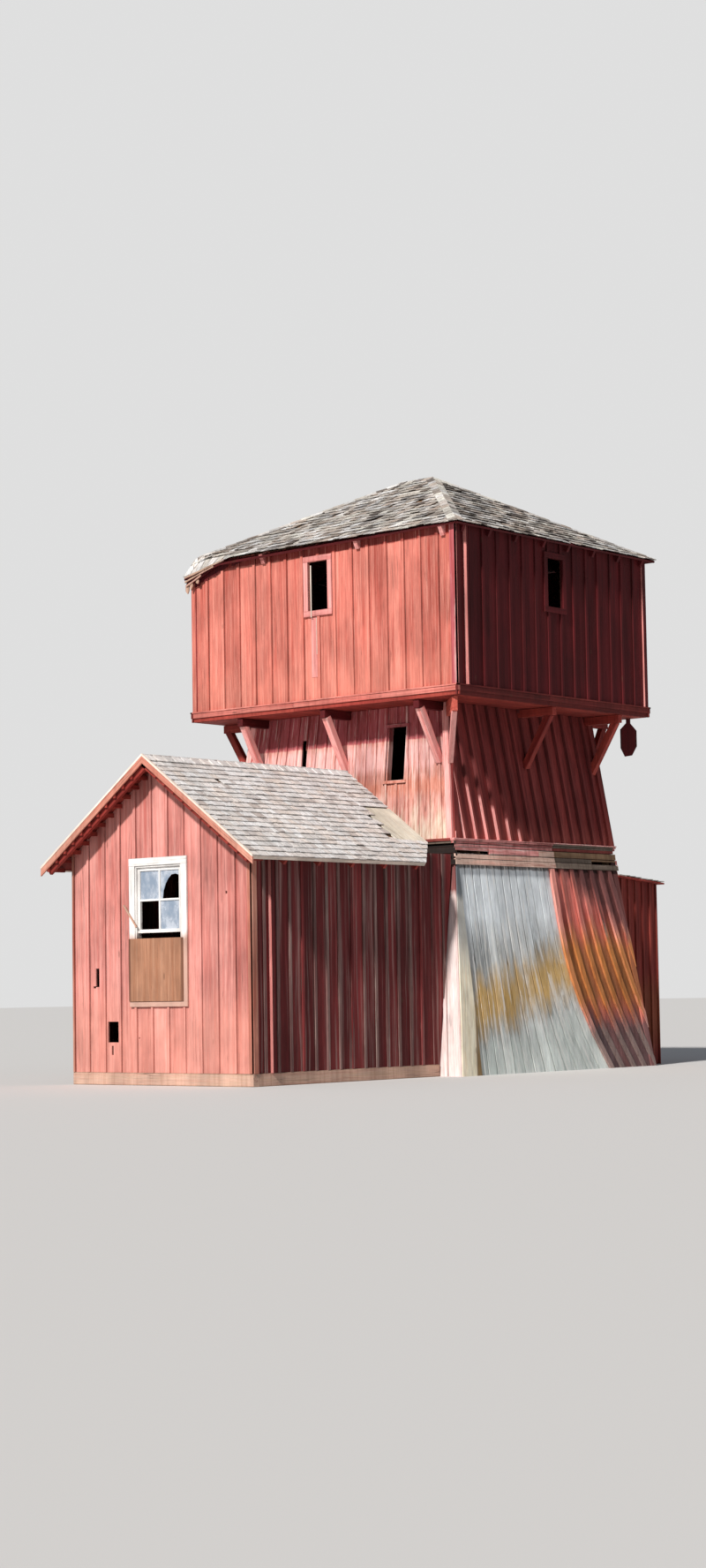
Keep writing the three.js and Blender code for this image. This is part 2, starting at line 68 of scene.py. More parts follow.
flat_right = Vector((math.cos(HEADING), math.sin(HEADING), 0))
ahead = Vector((-math.sin(HEADING) * math.cos(PITCH), math.cos(HEADING) * math.cos(PITCH), math.sin(PITCH)))
level_up = flat_right.cross(ahead)
right = flat_right * math.cos(ROLL) - level_up * math.sin(ROLL)
up = flat_right * math.sin(ROLL) + level_up * math.cos(ROLL)
camera_data = bpy.data.cameras.new("camera")
camera_data.lens = LENS
camera_data.sensor_fit = "VERTICAL"
camera_data.sensor_height = SENSOR_HEIGHT
camera_data.clip_end = 400
camera = placed("camera", camera_data)
for column, axis in enumerate((right, up, -ahead, CAMERA_AT)):
    for row in range(3):
        camera.matrix_world[row][column] = axis[row]
bpy.context.scene.camera = camera
print("camera distance to the tower's middle", round((CAMERA_AT - Vector((0.4, 0, 4))).length, 2), "m")

# %% [markdown]
# ## Sizes that the dressing shares with the solids
# Every board has to lie on the wall that carries it, so the tiers are written down again as half
# widths at two heights, in metres, with the tower's middle a little behind the origin. Measuring each
# node's mesh would also work, but a batter is easier to follow as two numbers.

# %% Tiers and sides
MIDDLE_Y = 1.483
SIDES = ("front", "right", "back", "left")
CROSSWISE = ("front", "back")
UP, TO_FRONT = Vector((0, 0, 1)), Vector((0, -1, 0))
TUCK = 0.001


def tier(foot, head):
    """Half widths in x and y at any height, from those at the foot and the head."""
    (x0, y0, z0), (x1, y1, z1) = foot, head
    return lambda z: (x0 + (x1 - x0) * (z - z0) / (z1 - z0), y0 + (y1 - y0) * (z - z0) / (z1 - z0))


def straight(x, y):
    """The same half widths at every height."""
    return lambda z: (x, y)


def wall_face(side, half):
    """Places a point of a wall: along it to the right, up it, and out from its face."""
    turn = 1 if side in ("right", "back") else -1

    def at(a, z, out):
        hx, hy = half(z)
        if side in CROSSWISE:
            return Vector((-turn * a, MIDDLE_Y + turn * (hy + out), z))
        return Vector((turn * (hx + out), MIDDLE_Y + turn * a, z))

    return at


def side_face(edge, turn):
    """An upright wall at x = edge that looks to the right (turn 1) or to the left (turn -1)."""
    return lambda a, z, out: Vector((edge + turn * out, turn * a, z))


def end_at(side, half, z):
    """How far a wall reaches to each side of its middle at a height."""
    return half(z)[0 if side in CROSSWISE else 1]


def battered(side, half, z_low, z_high):
    """A wall's face, its reach at foot and head, and its outline just inside the solid's."""
    low, high = end_at(side, half, z_low), end_at(side, half, z_high)
    return wall_face(side, half), low, high, [
        (-low + TUCK, z_low), (low - TUCK, z_low), (high - TUCK, z_high), (-high + TUCK, z_high)]


BASE = tier((2.258, 2.133, 0), (1.917, 1.755, 2.81))
MID = tier((1.898, 1.763, 3.0), (1.698, 1.563, 4.766))
TANK = straight(2.291, 2.119)
print("base front at the ground", [round(v, 3) for v in wall_face("front", BASE)(0, 0, 0)])

# %% [markdown]
# ## Cutting flat shapes
# A board is a flat shape with straight edges: a strip that is trimmed by the outline of its wall and
# cut away at the windows. Boolean modifiers could trim hundreds of boards, but slowly, and they leave
# long thin faces. Clipping the outline of each board before it becomes a solid is quick and exact.

# %% Clipping
SMALLEST = 2e-5


def area(shape):
    """Area of a flat shape, positive when its points run anticlockwise."""
    return sum(p[0] * q[1] - q[0] * p[1] for p, q in zip(shape, shape[1:] + shape[:1])) / 2


def clip(shape, side):
    """Keeps the part of a convex shape where side(point) is positive or nought."""
    kept = []
    for p, q in zip(shape, shape[1:] + shape[:1]):
        at_p, at_q = side(p), side(q)
        if at_p >= 0:
            kept.append(p)
        if at_p * at_q < 0:
            t = at_p / (at_p - at_q)
            kept.append((p[0] + (q[0] - p[0]) * t, p[1] + (q[1] - p[1]) * t))
    return kept if len(kept) > 2 and area(kept) > SMALLEST else []


def rectangle(x0, x1, z0, z1):
    return [(x0, z0), (x1, z0), (x1, z1), (x0, z1)]


def left_of(p, q):
    """Positive to the left of the line from p to q."""
    return lambda r: (q[0] - p[0]) * (r[1] - p[1]) - (q[1] - p[1]) * (r[0] - p[0])


def within(shape, outline):
    """The part of a convex shape inside a convex anticlockwise outline."""
    for p, q in zip(outline, outline[1:] + outline[:1]):
        shape = clip(shape, left_of(p, q))
    return shape


def around(shapes, hole):
    """Cuts a rectangle (x0, x1, z0, z1) out of convex shapes and returns the parts round it."""
    x0, x1, z0, z1 = hole
    parts = []
    for shape in shapes:
        middle = clip(clip(shape, lambda r: r[0] - x0), lambda r: x1 - r[0])
        parts += [clip(shape, lambda r: x0 - r[0]), clip(shape, lambda r: r[0] - x1),
                  clip(middle, lambda r: z0 - r[1]), clip(middle, lambda r: r[1] - z1)]
    return [part for part in parts if part]


def trimmed(strip, outline, holes=()):
    """The parts of a strip that its wall's outline and openings leave."""
    shapes = [within(strip, outline)]
    for hole in holes:
        shapes = around(shapes, hole)
    return shapes


def mirrored(row):
    """Places or points of one side wall as they lie on the opposite wall."""
    return [(-v[0], v[1]) if isinstance(v, tuple) else -v for v in row[::-1]]


print("a square less its middle:", len(around([rectangle(0, 1, 0, 1)], (0.3, 0.6, 0.3, 0.6))), "parts")

# %% [markdown]
# ## Piling up timber
# A wall holds some twenty boards and as many battens, and a roof hundreds of shingles. Each could be
# its own object, but they never move apart, so one mesh per wall or slope is lighter. Every corner
# also remembers where it lies in its own board: across, along and through the grain, with a number
# that is different for each board. The materials read these, so the grain runs with the board
# wherever it is nailed.

# %% Timber pile
NO_EDGE = 9


def valued(value, *place):
    """A value that may also be given as a function of the place."""
    return value(*place) if callable(value) else value


class Pile:
    """Many boards, timbers or shingles gathered into one mesh."""

    def __init__(self, seed):
        self.rng = random.Random(seed)
        self.points, self.grain, self.board = [], [], []
        self.faces, self.edge, self.slots = [], [], []

    def prism(self, at, shape, back, front, middle=0.0, half=0.1, slot=0, tag=None, sides=None):
        """Adds a flat shape carried from its back to its front depth."""
        if not shape:
            return
        tag = self.rng.random() if tag is None else tag
        first, count = len(self.points), len(shape)
        for depth in (back, front):
            for a, z in shape:
                d = valued(depth, a, z)
                self.points.append(at(a, z, d))
                self.grain.append((a - valued(middle, z), z, d))
                self.board.append(tag)
        edges = [(a - valued(middle, z)) / valued(half, z) for a, z in shape]
        self.add(list(range(first + count, first + 2 * count)), edges, slot)
        self.add(list(range(first + count - 1, first - 1, -1)), edges[::-1], slot)
        for i in range(count):
            j = (i + 1) % count
            self.add([first + count + i, first + i, first + j, first + count + j], [0] * 4,
                     slot if sides is None else sides)

    def add(self, face, edges, slot):
        self.faces.append(face)
        self.edge += edges
        self.slots.append(slot)

    def beam(self, start, end, facing, wide, deep, slot=0, waver=0.0):
        """Adds a timber from start to end; its wide face looks along facing, which is its middle line."""
        along = (end - start).normalized()
        across = along.cross(facing).normalized()
        out = across.cross(along).normalized()
        length = (end - start).length
        steps = 5 if waver else 1
        left, near = ([(edge * wide / 2 + self.rng.uniform(-waver, waver), length * i / steps)
                       for i in range(steps + 1)] for edge in (-1, 1))
        self.prism(lambda a, z, d: start + across * a + along * z + out * d, near + left[::-1], -deep / 2, deep / 2,
                   half=wide / 2, slot=slot)

    def make(self, name, materials, replaces=(), slot=None, bevel=0.0):
        """Turns the pile into one named piece of the model."""
        mesh = bpy.data.meshes.new(name)
        mesh.from_pydata([tuple(p) for p in self.points], [], self.faces)
        for title, kind, domain, key, values in (
            ("grain", "FLOAT_VECTOR", "POINT", "vector", [v for g in self.grain for v in g]),
            ("board", "FLOAT", "POINT", "value", self.board),
            ("edge", "FLOAT", "CORNER", "value", self.edge),
        ):
            mesh.attributes.new(title, kind, domain).data.foreach_set(key, values)
        mesh.polygons.foreach_set("material_index", self.slots)
        for material in materials:
            mesh.materials.append(material)
        mesh.update()
        piece = placed(name, mesh)
        if bevel:
            rounding = piece.modifiers.new("worn edges", "BEVEL")
            rounding.width = bevel
            rounding.segments = 2
            rounding.limit_method = "ANGLE"
        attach(piece, "root")
        if replaces:
            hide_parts(*replaces)
        print(f"{name}: {len(self.faces)} faces")


sample = Pile(0)
sample.prism(lambda a, z, out: (a, -out, z), rectangle(0, 0.2, 0, 3), 0.0, 0.022)
print("one board:", len(sample.points), "corners,", len(sample.faces), "faces")

# %% [markdown]
# ## A short way to wire materials
# Shader nodes can be joined by hand in the editor. In a script the same few lines would repeat, so a
# small class adds a node, fills its sockets from numbers or other nodes, and hands back its output.
# Colours are written as a painter's eight bit values and turned into the linear values that the
# renderer uses.

# %% Node wiring
WHITE = (1, 1, 1, 1)
looks = []


def colour(r, g, b):
    def linear(v):
        v /= 255
        return v / 12.92 if v <= 0.04045 else ((v + 0.055) / 1.055) ** 2.4

    return linear(r), linear(g), linear(b), 1.0


class Wiring:
    """Adds nodes to one shader tree; each method returns an output that the next node can take."""

    def __init__(self, tree):
        self.tree = tree

    def join(self, value, socket):
        """Feeds a socket from another node, or sets it to a plain value."""
        if isinstance(value, bpy.types.NodeSocket):
            self.tree.links.new(value, socket)
        elif value is not None:
            socket.default_value = value

    def node(self, kind, *inputs, out=0, **settings):
        made = self.tree.nodes.new("ShaderNode" + kind)
        for key, value in settings.items():
            setattr(made, key, value)
        for socket, value in zip(made.inputs, inputs):
            self.join(value, socket)
        return made.outputs[out]

    def maths(self, operation, *inputs, clamp=False):
        return self.node("Math", *inputs, operation=operation, use_clamp=clamp)

    def times(self, first, second, clamp=False):
        return self.maths("MULTIPLY", first, second, clamp=clamp)

    def plus(self, first, second, clamp=False):
        return self.maths("ADD", first, second, clamp=clamp)

    def less(self, first, second):
        return self.maths("SUBTRACT", first, second)

    def blend(self, share, below, above, how="MIX"):
        """Mixes two colours by a share from nought to one."""
        unused = [None] * 5
        return self.node("Mix", share, *unused, below, above, out=2, data_type="RGBA", blend_type=how)

    def dimmed(self, shade, factor):
        """A colour made lighter or darker by a plain factor."""
        return self.blend(1.0, shade, self.node("CombineXYZ", factor, factor, factor), "MULTIPLY")

    def ramp(self, value, low, high, to_low=0.0, to_high=1.0):
        """Maps a span of values smoothly to another."""
        return self.node("MapRange", value, low, high, to_low, to_high, interpolation_type="SMOOTHSTEP")

    def stretched(self, vector, stretch, finer=None):
        """A place scaled along each axis, and by one more factor if there is one."""
        place = self.node("VectorMath", vector, stretch, operation="MULTIPLY")
        return place if finer is None else self.node("VectorMath", place, None, None, finer, operation="SCALE")

    def noise(self, vector, stretch, detail=4.0, rough=0.55, finer=None):
        return self.node("TexNoise", self.stretched(vector, stretch, finer), None, 1.0, detail, rough)

    def use(self, group, **values):
        """Places a node group; returns its outputs by name."""
        made = self.tree.nodes.new("ShaderNodeGroup")
        made.node_tree = group
        for title, value in values.items():
            self.join(value, made.inputs[title])
        return made.outputs

    def give(self, **results):
        """Hands results out of a group, each through a socket of its own name."""
        for title, value in results.items():
            kind = {"RGBA": "Color", "VECTOR": "Vector"}.get(value.type, "Float")
            self.tree.interface.new_socket(title, in_out="OUTPUT", socket_type="NodeSocket" + kind)
        leave = self.tree.nodes.new("NodeGroupOutput")
        for title, value in results.items():
            self.join(value, leave.inputs[title])
        print("group:", self.tree.name, len(self.tree.nodes), "nodes")


def new_group(name, **inputs):
    """A node group with named sockets and their usual values; returns it, its wiring and its inputs."""
    group = bpy.data.node_groups.new(name, "ShaderNodeTree")
    for title, value in inputs.items():
        kind = "Color" if value is WHITE else "Float"
        socket = group.interface.new_socket(title, in_out="INPUT", socket_type="NodeSocket" + kind)
        socket.default_value = value
    return group, Wiring(group), group.nodes.new("NodeGroupInput").outputs


def new_material(name):
    """A material; returns it, its wiring and the inputs of its shader."""
    material = bpy.data.materials.new(name)
    material.use_nodes = True
    looks.append(name)
    return material, Wiring(material.node_tree), material.node_tree.nodes["Principled BSDF"].inputs


print("half of 255 as light:", round(colour(128, 128, 128)[0], 3))

# %% [markdown]
# ## Grain
# Softwood boards show fine fibres, broad lighter and darker belts, drying cracks and a few knots. A
# photograph of wood could be wrapped on, but it repeats and smears at this size. Stretched noise in
# each board's own directions gives all four, and the board's number shifts it, so no two are alike.

# %% Grain group
wood_grain, wood, given = new_group("wood grain", Fineness=1.0, Cracks=0.5)
number = wood.node("Attribute", out=2, attribute_name="board")
offset = wood.node("CombineXYZ", *[wood.times(number, stride) for stride in (37.0, 91.0, 13.0)])
shifted = wood.node("VectorMath", wood.node("Attribute", out=1, attribute_name="grain"), offset, operation="ADD")
drift = wood.times(wood.noise(shifted, (3, 0.9, 3), 2.0), 0.05)
bent = wood.node("VectorMath", shifted, wood.node("CombineXYZ", drift, 0.0, 0.0), operation="ADD")
crack_line = wood.less(wood.noise(bent, (42, 0.75, 42), 2.0, 0.4), 0.5)
crack = wood.times(wood.ramp(wood.maths("ABSOLUTE", crack_line), 0.0, 0.02, 1.0, 0.0),
                   wood.ramp(wood.noise(shifted, (5, 1.1, 5), 1.0), 0.5, 0.62))
knots = wood.node("TexVoronoi", wood.stretched(shifted, (4.5, 1.5, 4.5)), None, 1.0)
wood.give(
    Vector=bent, Board=number,
    Fibre=wood.noise(bent, (130, 3.2, 130), 5.0, 0.65, given["Fineness"]),
    Belts=wood.noise(bent, (22, 0.7, 22), 3.0, 0.5),
    Crack=wood.times(crack, given["Cracks"], clamp=True),
    Knot=wood.ramp(knots, 0.035, 0.085, 1.0, 0.0),
)

# %% [markdown]
# ## Weather on the whole building
# Some marks belong to the building, not to a board: rain streaks that run down over everything, and
# bands of lichen, splash dirt or bleached paint at a certain height. They are read from the place in
# the room, so they pass from board to board. A band has a foot, a head and a ragged edge, and it may
# rise or fall towards the back.

# %% Streak and band groups
rain_streaks, rain, given = new_group("rain streaks", Amount=0.5)
room = rain.node("TexCoord", out=3)
streak = rain.ramp(rain.noise(room, (26, 26, 0.9), 4.0, 0.6), 0.42, 0.7)
rain.give(Mask=rain.times(streak, given["Amount"], clamp=True), Patch=rain.noise(room, (2.2, 2.2, 1.1), 4.0, 0.6))

height_band, band, given = new_group("height band", Foot=0.0, Head=1.0, Soft=0.2, Ragged=0.3, Tilt=0.0)
room = band.node("TexCoord", out=3)
height = band.less(band.node("SeparateXYZ", room, out=2),
                   band.times(band.node("SeparateXYZ", room, out=1), given["Tilt"]))
rags = band.less(band.noise(room, (9, 9, 1.4), 5.0, 0.65), 0.5)
height = band.plus(height, band.times(rags, band.times(given["Ragged"], 2.0)))
rise = band.maths("DIVIDE", band.less(height, given["Foot"]), given["Soft"], clamp=True)
fall = band.maths("DIVIDE", band.less(given["Head"], height), given["Soft"], clamp=True)
band.give(Mask=band.times(rise, fall))


def weathered(w, shade, amount, tone, *patches):
    """A colour with rain streaks of a tone, then with broad lighter and darker patches."""
    marks = w.use(rain_streaks, Amount=amount)
    return w.dimmed(w.blend(marks["Mask"], shade, (*tone, 1), "MULTIPLY"), w.ramp(marks["Patch"], *patches))


# %% [markdown]
# ## Worn paint
# Barn paint chalks and fades, then wears off along the fibres, at the board's edges and round the
# cracks until the grey wood shows. Painting the wear by hand would suit one board. For hundreds, the
# wear is a threshold on the grain itself, and the edge of each board adds to it.

# %% Worn paint group
worn_paint, worn, given = new_group(
    "worn paint", Paint=WHITE, Faded=WHITE, Wood=WHITE, Fade=0.5, Wear=0.2, Edges=0.3, Variety=0.25,
    Fibre=0.5, Belts=0.5, Crack=0.0, Knot=0.0, Board=0.5)
fibre, belts = given["Fibre"], given["Belts"]
edge = worn.maths("ABSOLUTE", worn.node("Attribute", out=2, attribute_name="edge"))
fade = worn.plus(given["Fade"], worn.times(worn.less(belts, 0.5), 1.9))
swing = worn.times(worn.less(given["Board"], 0.5), given["Variety"])
skin = worn.blend(worn.plus(fade, swing, clamp=True), given["Paint"], given["Faded"])
skin = worn.dimmed(skin, worn.times(worn.maths("MULTIPLY_ADD", swing, 0.7, 1.0),
                                    worn.ramp(fibre, 0.36, 0.64, 0.84, 1.12)))
timber = worn.blend(worn.ramp(fibre, 0.56, 0.36, 0.0, 0.42), given["Wood"], (0.12, 0.085, 0.06, 1))
bare = worn.plus(worn.times(fibre, 0.55), worn.times(belts, 0.45))
bare = worn.plus(bare, worn.times(worn.ramp(edge, 0.80, 1.0), worn.times(given["Edges"], 0.3)))
bare = worn.ramp(worn.plus(bare, worn.times(given["Wear"], 0.62)), 0.76, 0.84)
mixed = worn.blend(bare, skin, timber)
for share, dark in (
    (worn.times(given["Knot"], 0.45), (0.10, 0.05, 0.03, 1)),
    (worn.times(given["Crack"], 0.85), (0.03, 0.018, 0.014, 1)),
    (worn.ramp(edge, 0.89, 0.98, 0.0, 0.66), (0.05, 0.016, 0.014, 1)),
):
    mixed = worn.blend(share, mixed, dark)
raised = worn.less(worn.less(worn.times(fibre, 0.5), given["Crack"]), worn.times(bare, 0.35))
worn.give(Color=mixed, Roughness=worn.ramp(bare, 0.0, 1.0, 0.72, 0.9), Height=raised)

# %% [markdown]
# ## The finishes
# Every finish is the same recipe with its own values: grain, then paint worn over it, then bands of
# colour at certain heights, then rain streaks, then upright strips where the paint has peeled. Each
# band gives its foot, head, softness, raggedness, colour and strength, and may tilt. The shader itself
# stays in the material, and its constant values are set on it directly.

# %% Finish recipe
RED_RAIN = (0.30, 0.12, 0.10)
DRY_RAIN = (0.8, 0.66, 0.6)


def coated(w, shader, shade, roughness, height, strength, depth, specular):
    """Joins colour, roughness and relief to a shader."""
    w.join(shade, shader["Base Color"])
    w.join(roughness, shader["Roughness"])
    w.join(w.node("Bump", strength, depth, None, height), shader["Normal"])
    shader["Specular IOR Level"].default_value = specular


def finish(name, paint, faded, wood, fade=0.5, wear=0.2, edges=0.4, variety=0.3, cracks=0.5, fineness=1.0,
           streak=0.3, rain=RED_RAIN, bands=(), depth=0.006, peeled=None):
    """A board's material; peeled gives the colour, share, thresholds and stretch of its strips."""
    material, w, shader = new_material(name)
    grain = w.use(wood_grain, Fineness=fineness, Cracks=cracks)
    marks = {title: grain[title] for title in ("Fibre", "Belts", "Crack", "Knot", "Board")}
    coat = w.use(worn_paint, Paint=colour(*paint), Faded=colour(*faded), Wood=colour(*wood), Fade=fade, Wear=wear,
                 Edges=edges, Variety=variety, **marks)
    shade = coat["Color"]
    for foot, head, soft, ragged, tone, share, *tilt in bands:
        mask = w.use(height_band, Foot=foot, Head=head, Soft=soft, Ragged=ragged, Tilt=sum(tilt))["Mask"]
        shade = w.blend(w.times(mask, share), shade, colour(*tone))
    shade = weathered(w, shade, streak, rain, 0.32, 0.68, 0.80, 1.14)
    if peeled:
        tone, share, low, high, across, along = peeled
        strips = w.noise(grain["Vector"], (across, along, across), 5.0, 0.7)
        shade = w.blend(w.times(w.ramp(strips, low, high), share), shade, colour(*tone))
    coated(w, shader, shade, coat["Roughness"], coat["Height"], 0.7, depth, 0.25)
    return material


print("a finish sets:", [item.name for item in worn_paint.interface.items_tree if item.in_out == "INPUT"])

# %% [markdown]
# ## Painted finishes
# The red has faded differently on each side: rose in the sun, maroon in the shade, cream where the
# rain has washed it. One red could be tinted by the light alone, but the real walls differ in wear
# too, so each tier and side has its own fresh colour, faded colour and wood. The darker side paints
# also carry painted shade, and some bands paint the shadows that fall on the walls.

# %% Painted finishes
# The last band of the tank front paint is painted shade: a dark strip at the head of the wall, under the eave.
tank_lit = finish("tank front paint", (178, 75, 63), (216, 133, 118), (198, 168, 150), fade=0.62, wear=0.02,
                  edges=0.25, streak=0.18, peeled=((242, 170, 154), 0.4, 0.54, 0.62, 80, 1.1),
                  bands=[(4.7, 5.5, 0.5, 0.3, (226, 146, 126), 0.35), (6.81, 9, 0.02, 0.035, (136, 46, 40), 0.92)])
# The side paints are darker partly because the shaded sides faded less and partly as painted shade.
tank_deep = finish("tank side paint with painted shade", (78, 13, 18), (99, 26, 30), (105, 56, 64), fade=0.4, wear=0.0, edges=0.2)
# The last band of the middle front paint is painted shade: darker red above the shadow line of the tank room's
# overhang.
mid_lit = finish("middle front paint", (188, 106, 94), (229, 178, 167), (225, 220, 199), fade=0.6, wear=0.28,
                 edges=0.5, streak=0.85, rain=(0.66, 0.44, 0.36), peeled=((250, 230, 220), 0.45, 0.56, 0.64, 34, 1.1),
                 bands=[(2.6, 3.5, 0.45, 0.8, (226, 214, 194), 0.8), (3.55, 3.85, 0.1, 0.15, (212, 134, 108), 0.5),
                        (3.88, 4.33, 0.1, 0.06, (246, 196, 196), 0.5), (4.31, 9, 0.02, 0.03, (176, 84, 92), 0.9)])
mid_deep = finish("middle side paint with painted shade", (117, 38, 38), (146, 66, 62), (160, 102, 97), fade=0.45, wear=0.05,
                  streak=0.35, bands=[(2.6, 3.3, 0.3, 0.3, (178, 92, 82), 0.5)])
annex_lit = finish("annex front paint", (184, 95, 86), (218, 153, 144), (226, 211, 202), fade=0.62, wear=0.08,
                   edges=0.35, streak=0.2, bands=[(-0.5, 1.3, 0.6, 0.4, (230, 160, 142), 0.4)])
annex_deep = finish("annex side paint with painted shade", (112, 36, 38), (134, 54, 54), (158, 132, 124), fade=0.4, wear=0.18, edges=0.45,
                    streak=0.45, variety=0.9, peeled=((172, 144, 138), 0.55, 0.50, 0.68, 22, 0.3))
brace_paint = finish("brace paint", (176, 62, 52), (216, 110, 94), (214, 160, 140), fade=0.55, wear=0.08, streak=0.2)
timber_deep = finish("shaded timber paint", (134, 40, 36), (170, 74, 62), (180, 120, 100), fade=0.45, wear=0.05)
rim_paint = finish("rim paint", (178, 80, 72), (220, 138, 126), (232, 180, 160), fade=0.6, wear=0.15, edges=0.6,
                   streak=0.2)
rim_deep = finish("shaded rim paint", (96, 28, 28), (128, 52, 46), (160, 110, 96), fade=0.45, wear=0.08, edges=0.5)
strut_paint = finish("sunlit strut paint", (254, 138, 132), (254, 196, 190), (254, 230, 214), fade=0.6, wear=0.15,
                     edges=0.6, streak=0.15)
# Pink for batten sides, casings and ledges: partly bleached paint, partly painted sunlight on the faces that look
# towards the sun.
pink_bleach_and_painted_sun = finish("batten edges bleached and painted sunlit", (206, 118, 112), (232, 164, 158), (236, 196, 184), fade=0.6, edges=0.0)
# Pink batten sides as painted sunlight, turned dark red above a sloping line as painted shadow of the tank room.
low_batten_painted_sun_and_shadow = finish("batten sides with painted sun under a painted shadow line", (216, 130, 126), (238, 176, 172), (236, 196, 184), fade=0.6,
                  edges=0.0, bands=[(3.72, 99, 0.06, 0.05, (104, 38, 38), 0.95, -0.56)])
worn_batten = finish("batten worn grey", (115, 78, 76), (148, 118, 112), (161, 141, 134), wear=0.35, streak=0.4)
barge_paint = finish("faded bargeboard paint", (176, 98, 82), (214, 158, 138), (204, 166, 146), wear=0.25, edges=0.6,
                     rain=(0.5, 0.3, 0.25))
belt_paint = finish("belt paint", (196, 109, 106), (250, 176, 171), (250, 229, 221), wear=0.35, edges=0.7,
                    variety=0.9, cracks=0.9, streak=0.4)
base_dark = finish("base paint", (120, 40, 36), (150, 68, 58), (160, 120, 104), fade=0.4, wear=0.15, streak=0.4,
                   bands=[(0.1, 1.3, 0.4, 0.3, (140, 84, 52), 0.5)])
print("painted finishes:", len(looks))

# %% [markdown]
# ## Pale and bare finishes
# Trim and sills were cream or white, and the sheathing and the skirt show their wood. One pale paint
# could serve them all, but chalk, cream and silvered wood part company in the sun, so each has its
# own values in the same recipe.

# %% Pale and bare finishes
sill_paint = finish("sill paint", (178, 130, 112), (216, 184, 166), (198, 164, 142), fade=0.55, wear=0.4, edges=0.8,
                    cracks=0.9, streak=0.35, rain=(0.6, 0.45, 0.38))
cream_trim = finish("cream trim paint", (218, 199, 185), (242, 230, 218), (199, 153, 130), fade=0.6, wear=0.16,
                    edges=0.8, streak=0.25, rain=(0.8, 0.62, 0.52))
white_paint = finish("white window paint", (232, 228, 224), (244, 242, 240), (170, 140, 124), fade=0.6, wear=0.04,
                     edges=0.8, streak=0.12, rain=(0.8, 0.76, 0.72),
                     bands=[(-1, 1.84, 0.12, 0.1, (190, 146, 128), 0.9)])
# Above 2.25 m the whitewashed boards turn dark red as painted shadow of the annex roof.
whitewash = finish("whitewashed boards", (220, 190, 185), (231, 216, 213), (207, 165, 148), fade=0.6, wear=0.15,
                   edges=0.5, streak=0.2, rain=DRY_RAIN, bands=[(2.25, 9, 0.1, 0.1, (120, 50, 48), 0.9)])
# The cream corner board turns grey from 1.2 m and blue grey from 2.2 m up as painted shade.
wedge_paint = finish("cream corner board", (241, 221, 195), (250, 250, 229), (245, 210, 149), fade=0.55, wear=0.25,
                     edges=0.6, rain=(0.8, 0.66, 0.45),
                     bands=[(1.2, 9, 0.6, 0.3, (166, 168, 168), 0.85), (2.2, 9, 0.1, 0.1, (96, 104, 112), 0.9)])
plywood_face = finish("plywood face", (153, 104, 78), (177, 133, 108), (128, 88, 67), wear=0.1, variety=0.0,
                      cracks=0.3, fineness=0.6, streak=0.35, rain=(0.72, 0.55, 0.45))
inside_wood = finish("inside wood", (110, 84, 62), (140, 112, 86), (120, 100, 84), fade=0.4, streak=0.4)
skirt_wood = finish("skirt wood", (196, 134, 120), (247, 206, 188), (229, 196, 180), wear=0.5, edges=0.8, variety=0.6,
                    cracks=0.8, streak=0.4, rain=(0.5, 0.4, 0.36))
# A black finish that stands for painted shade where the annex roof darkens the skirt.
black_painted_shade = finish("black painted shade board", (30, 22, 20), (44, 34, 30), (60, 48, 42), fade=0.4, wear=0.1)
rotten_wood = finish("rotten wood", (196, 148, 134), (228, 190, 174), (190, 158, 136), wear=0.5, cracks=1.0,
                     streak=0.5, rain=(0.5, 0.4, 0.3), depth=0.012)
lichen_wood = finish("wood with lichen", (104, 90, 80), (138, 122, 110), (168, 150, 138), wear=0.3, variety=0.8,
                     cracks=0.9, streak=0.5, rain=(0.4, 0.36, 0.3))
bare_sheet = finish("bleached sheathing", (225, 215, 194), (234, 230, 216), (211, 198, 174), fade=0.6, wear=0.3,
                    cracks=0.8, streak=0.25, rain=(0.7, 0.64, 0.56), depth=0.003)
print("with the pale and bare ones:", len(looks))

# %% [markdown]
# ## Boarded walls
# The walls are board and batten: wide boards nailed upright, with a narrow batten over each joint. The
# boards could be a bump on a flat wall, but each real board sits a little differently, so the light
# changes from one to the next. Joints are given as lines from the foot to the head of the wall, which
# also serves the base, where the boards lean more and more towards the back.

# %% Boarding
BOARD_THICK, SINK = 0.022, 0.003
STUD_HALF, STUD_BACK, STUD_FRONT = 0.025, -0.098, -0.03


def lines(low, high, z_low, z_high):
    """Joint lines as functions of height, from their places at two heights."""
    return [lambda z, a=a, b=b: a + (b - a) * (z - z_low) / (z_high - z_low) for a, b in zip(low, high)]


def spread(low, high, width, rng, waver=0.04):
    """Joint places from low to high, about a board's width apart."""
    count = max(1, round((high - low) / width))
    step = (high - low) / count
    return [low + step * i + (rng.uniform(-waver, waver) * step if 0 < i < count else 0) for i in range(count + 1)]


def fanned(low, high, z_low, z_high, width, rng):
    """Joints that close up as a wall narrows towards its head."""
    shares = spread(-1, 1, width, rng)
    return lines([s * low for s in shares], [s * high for s in shares], z_low, z_high)


def ribbon(left, right, foot, right_foot, heights):
    """The outline of a strip between two lines, with its foot cut slightly askew."""
    return ([(left(foot), foot), (right(foot), right_foot)] + [(right(z), z) for z in heights]
            + [(left(z), z) for z in heights[::-1]])


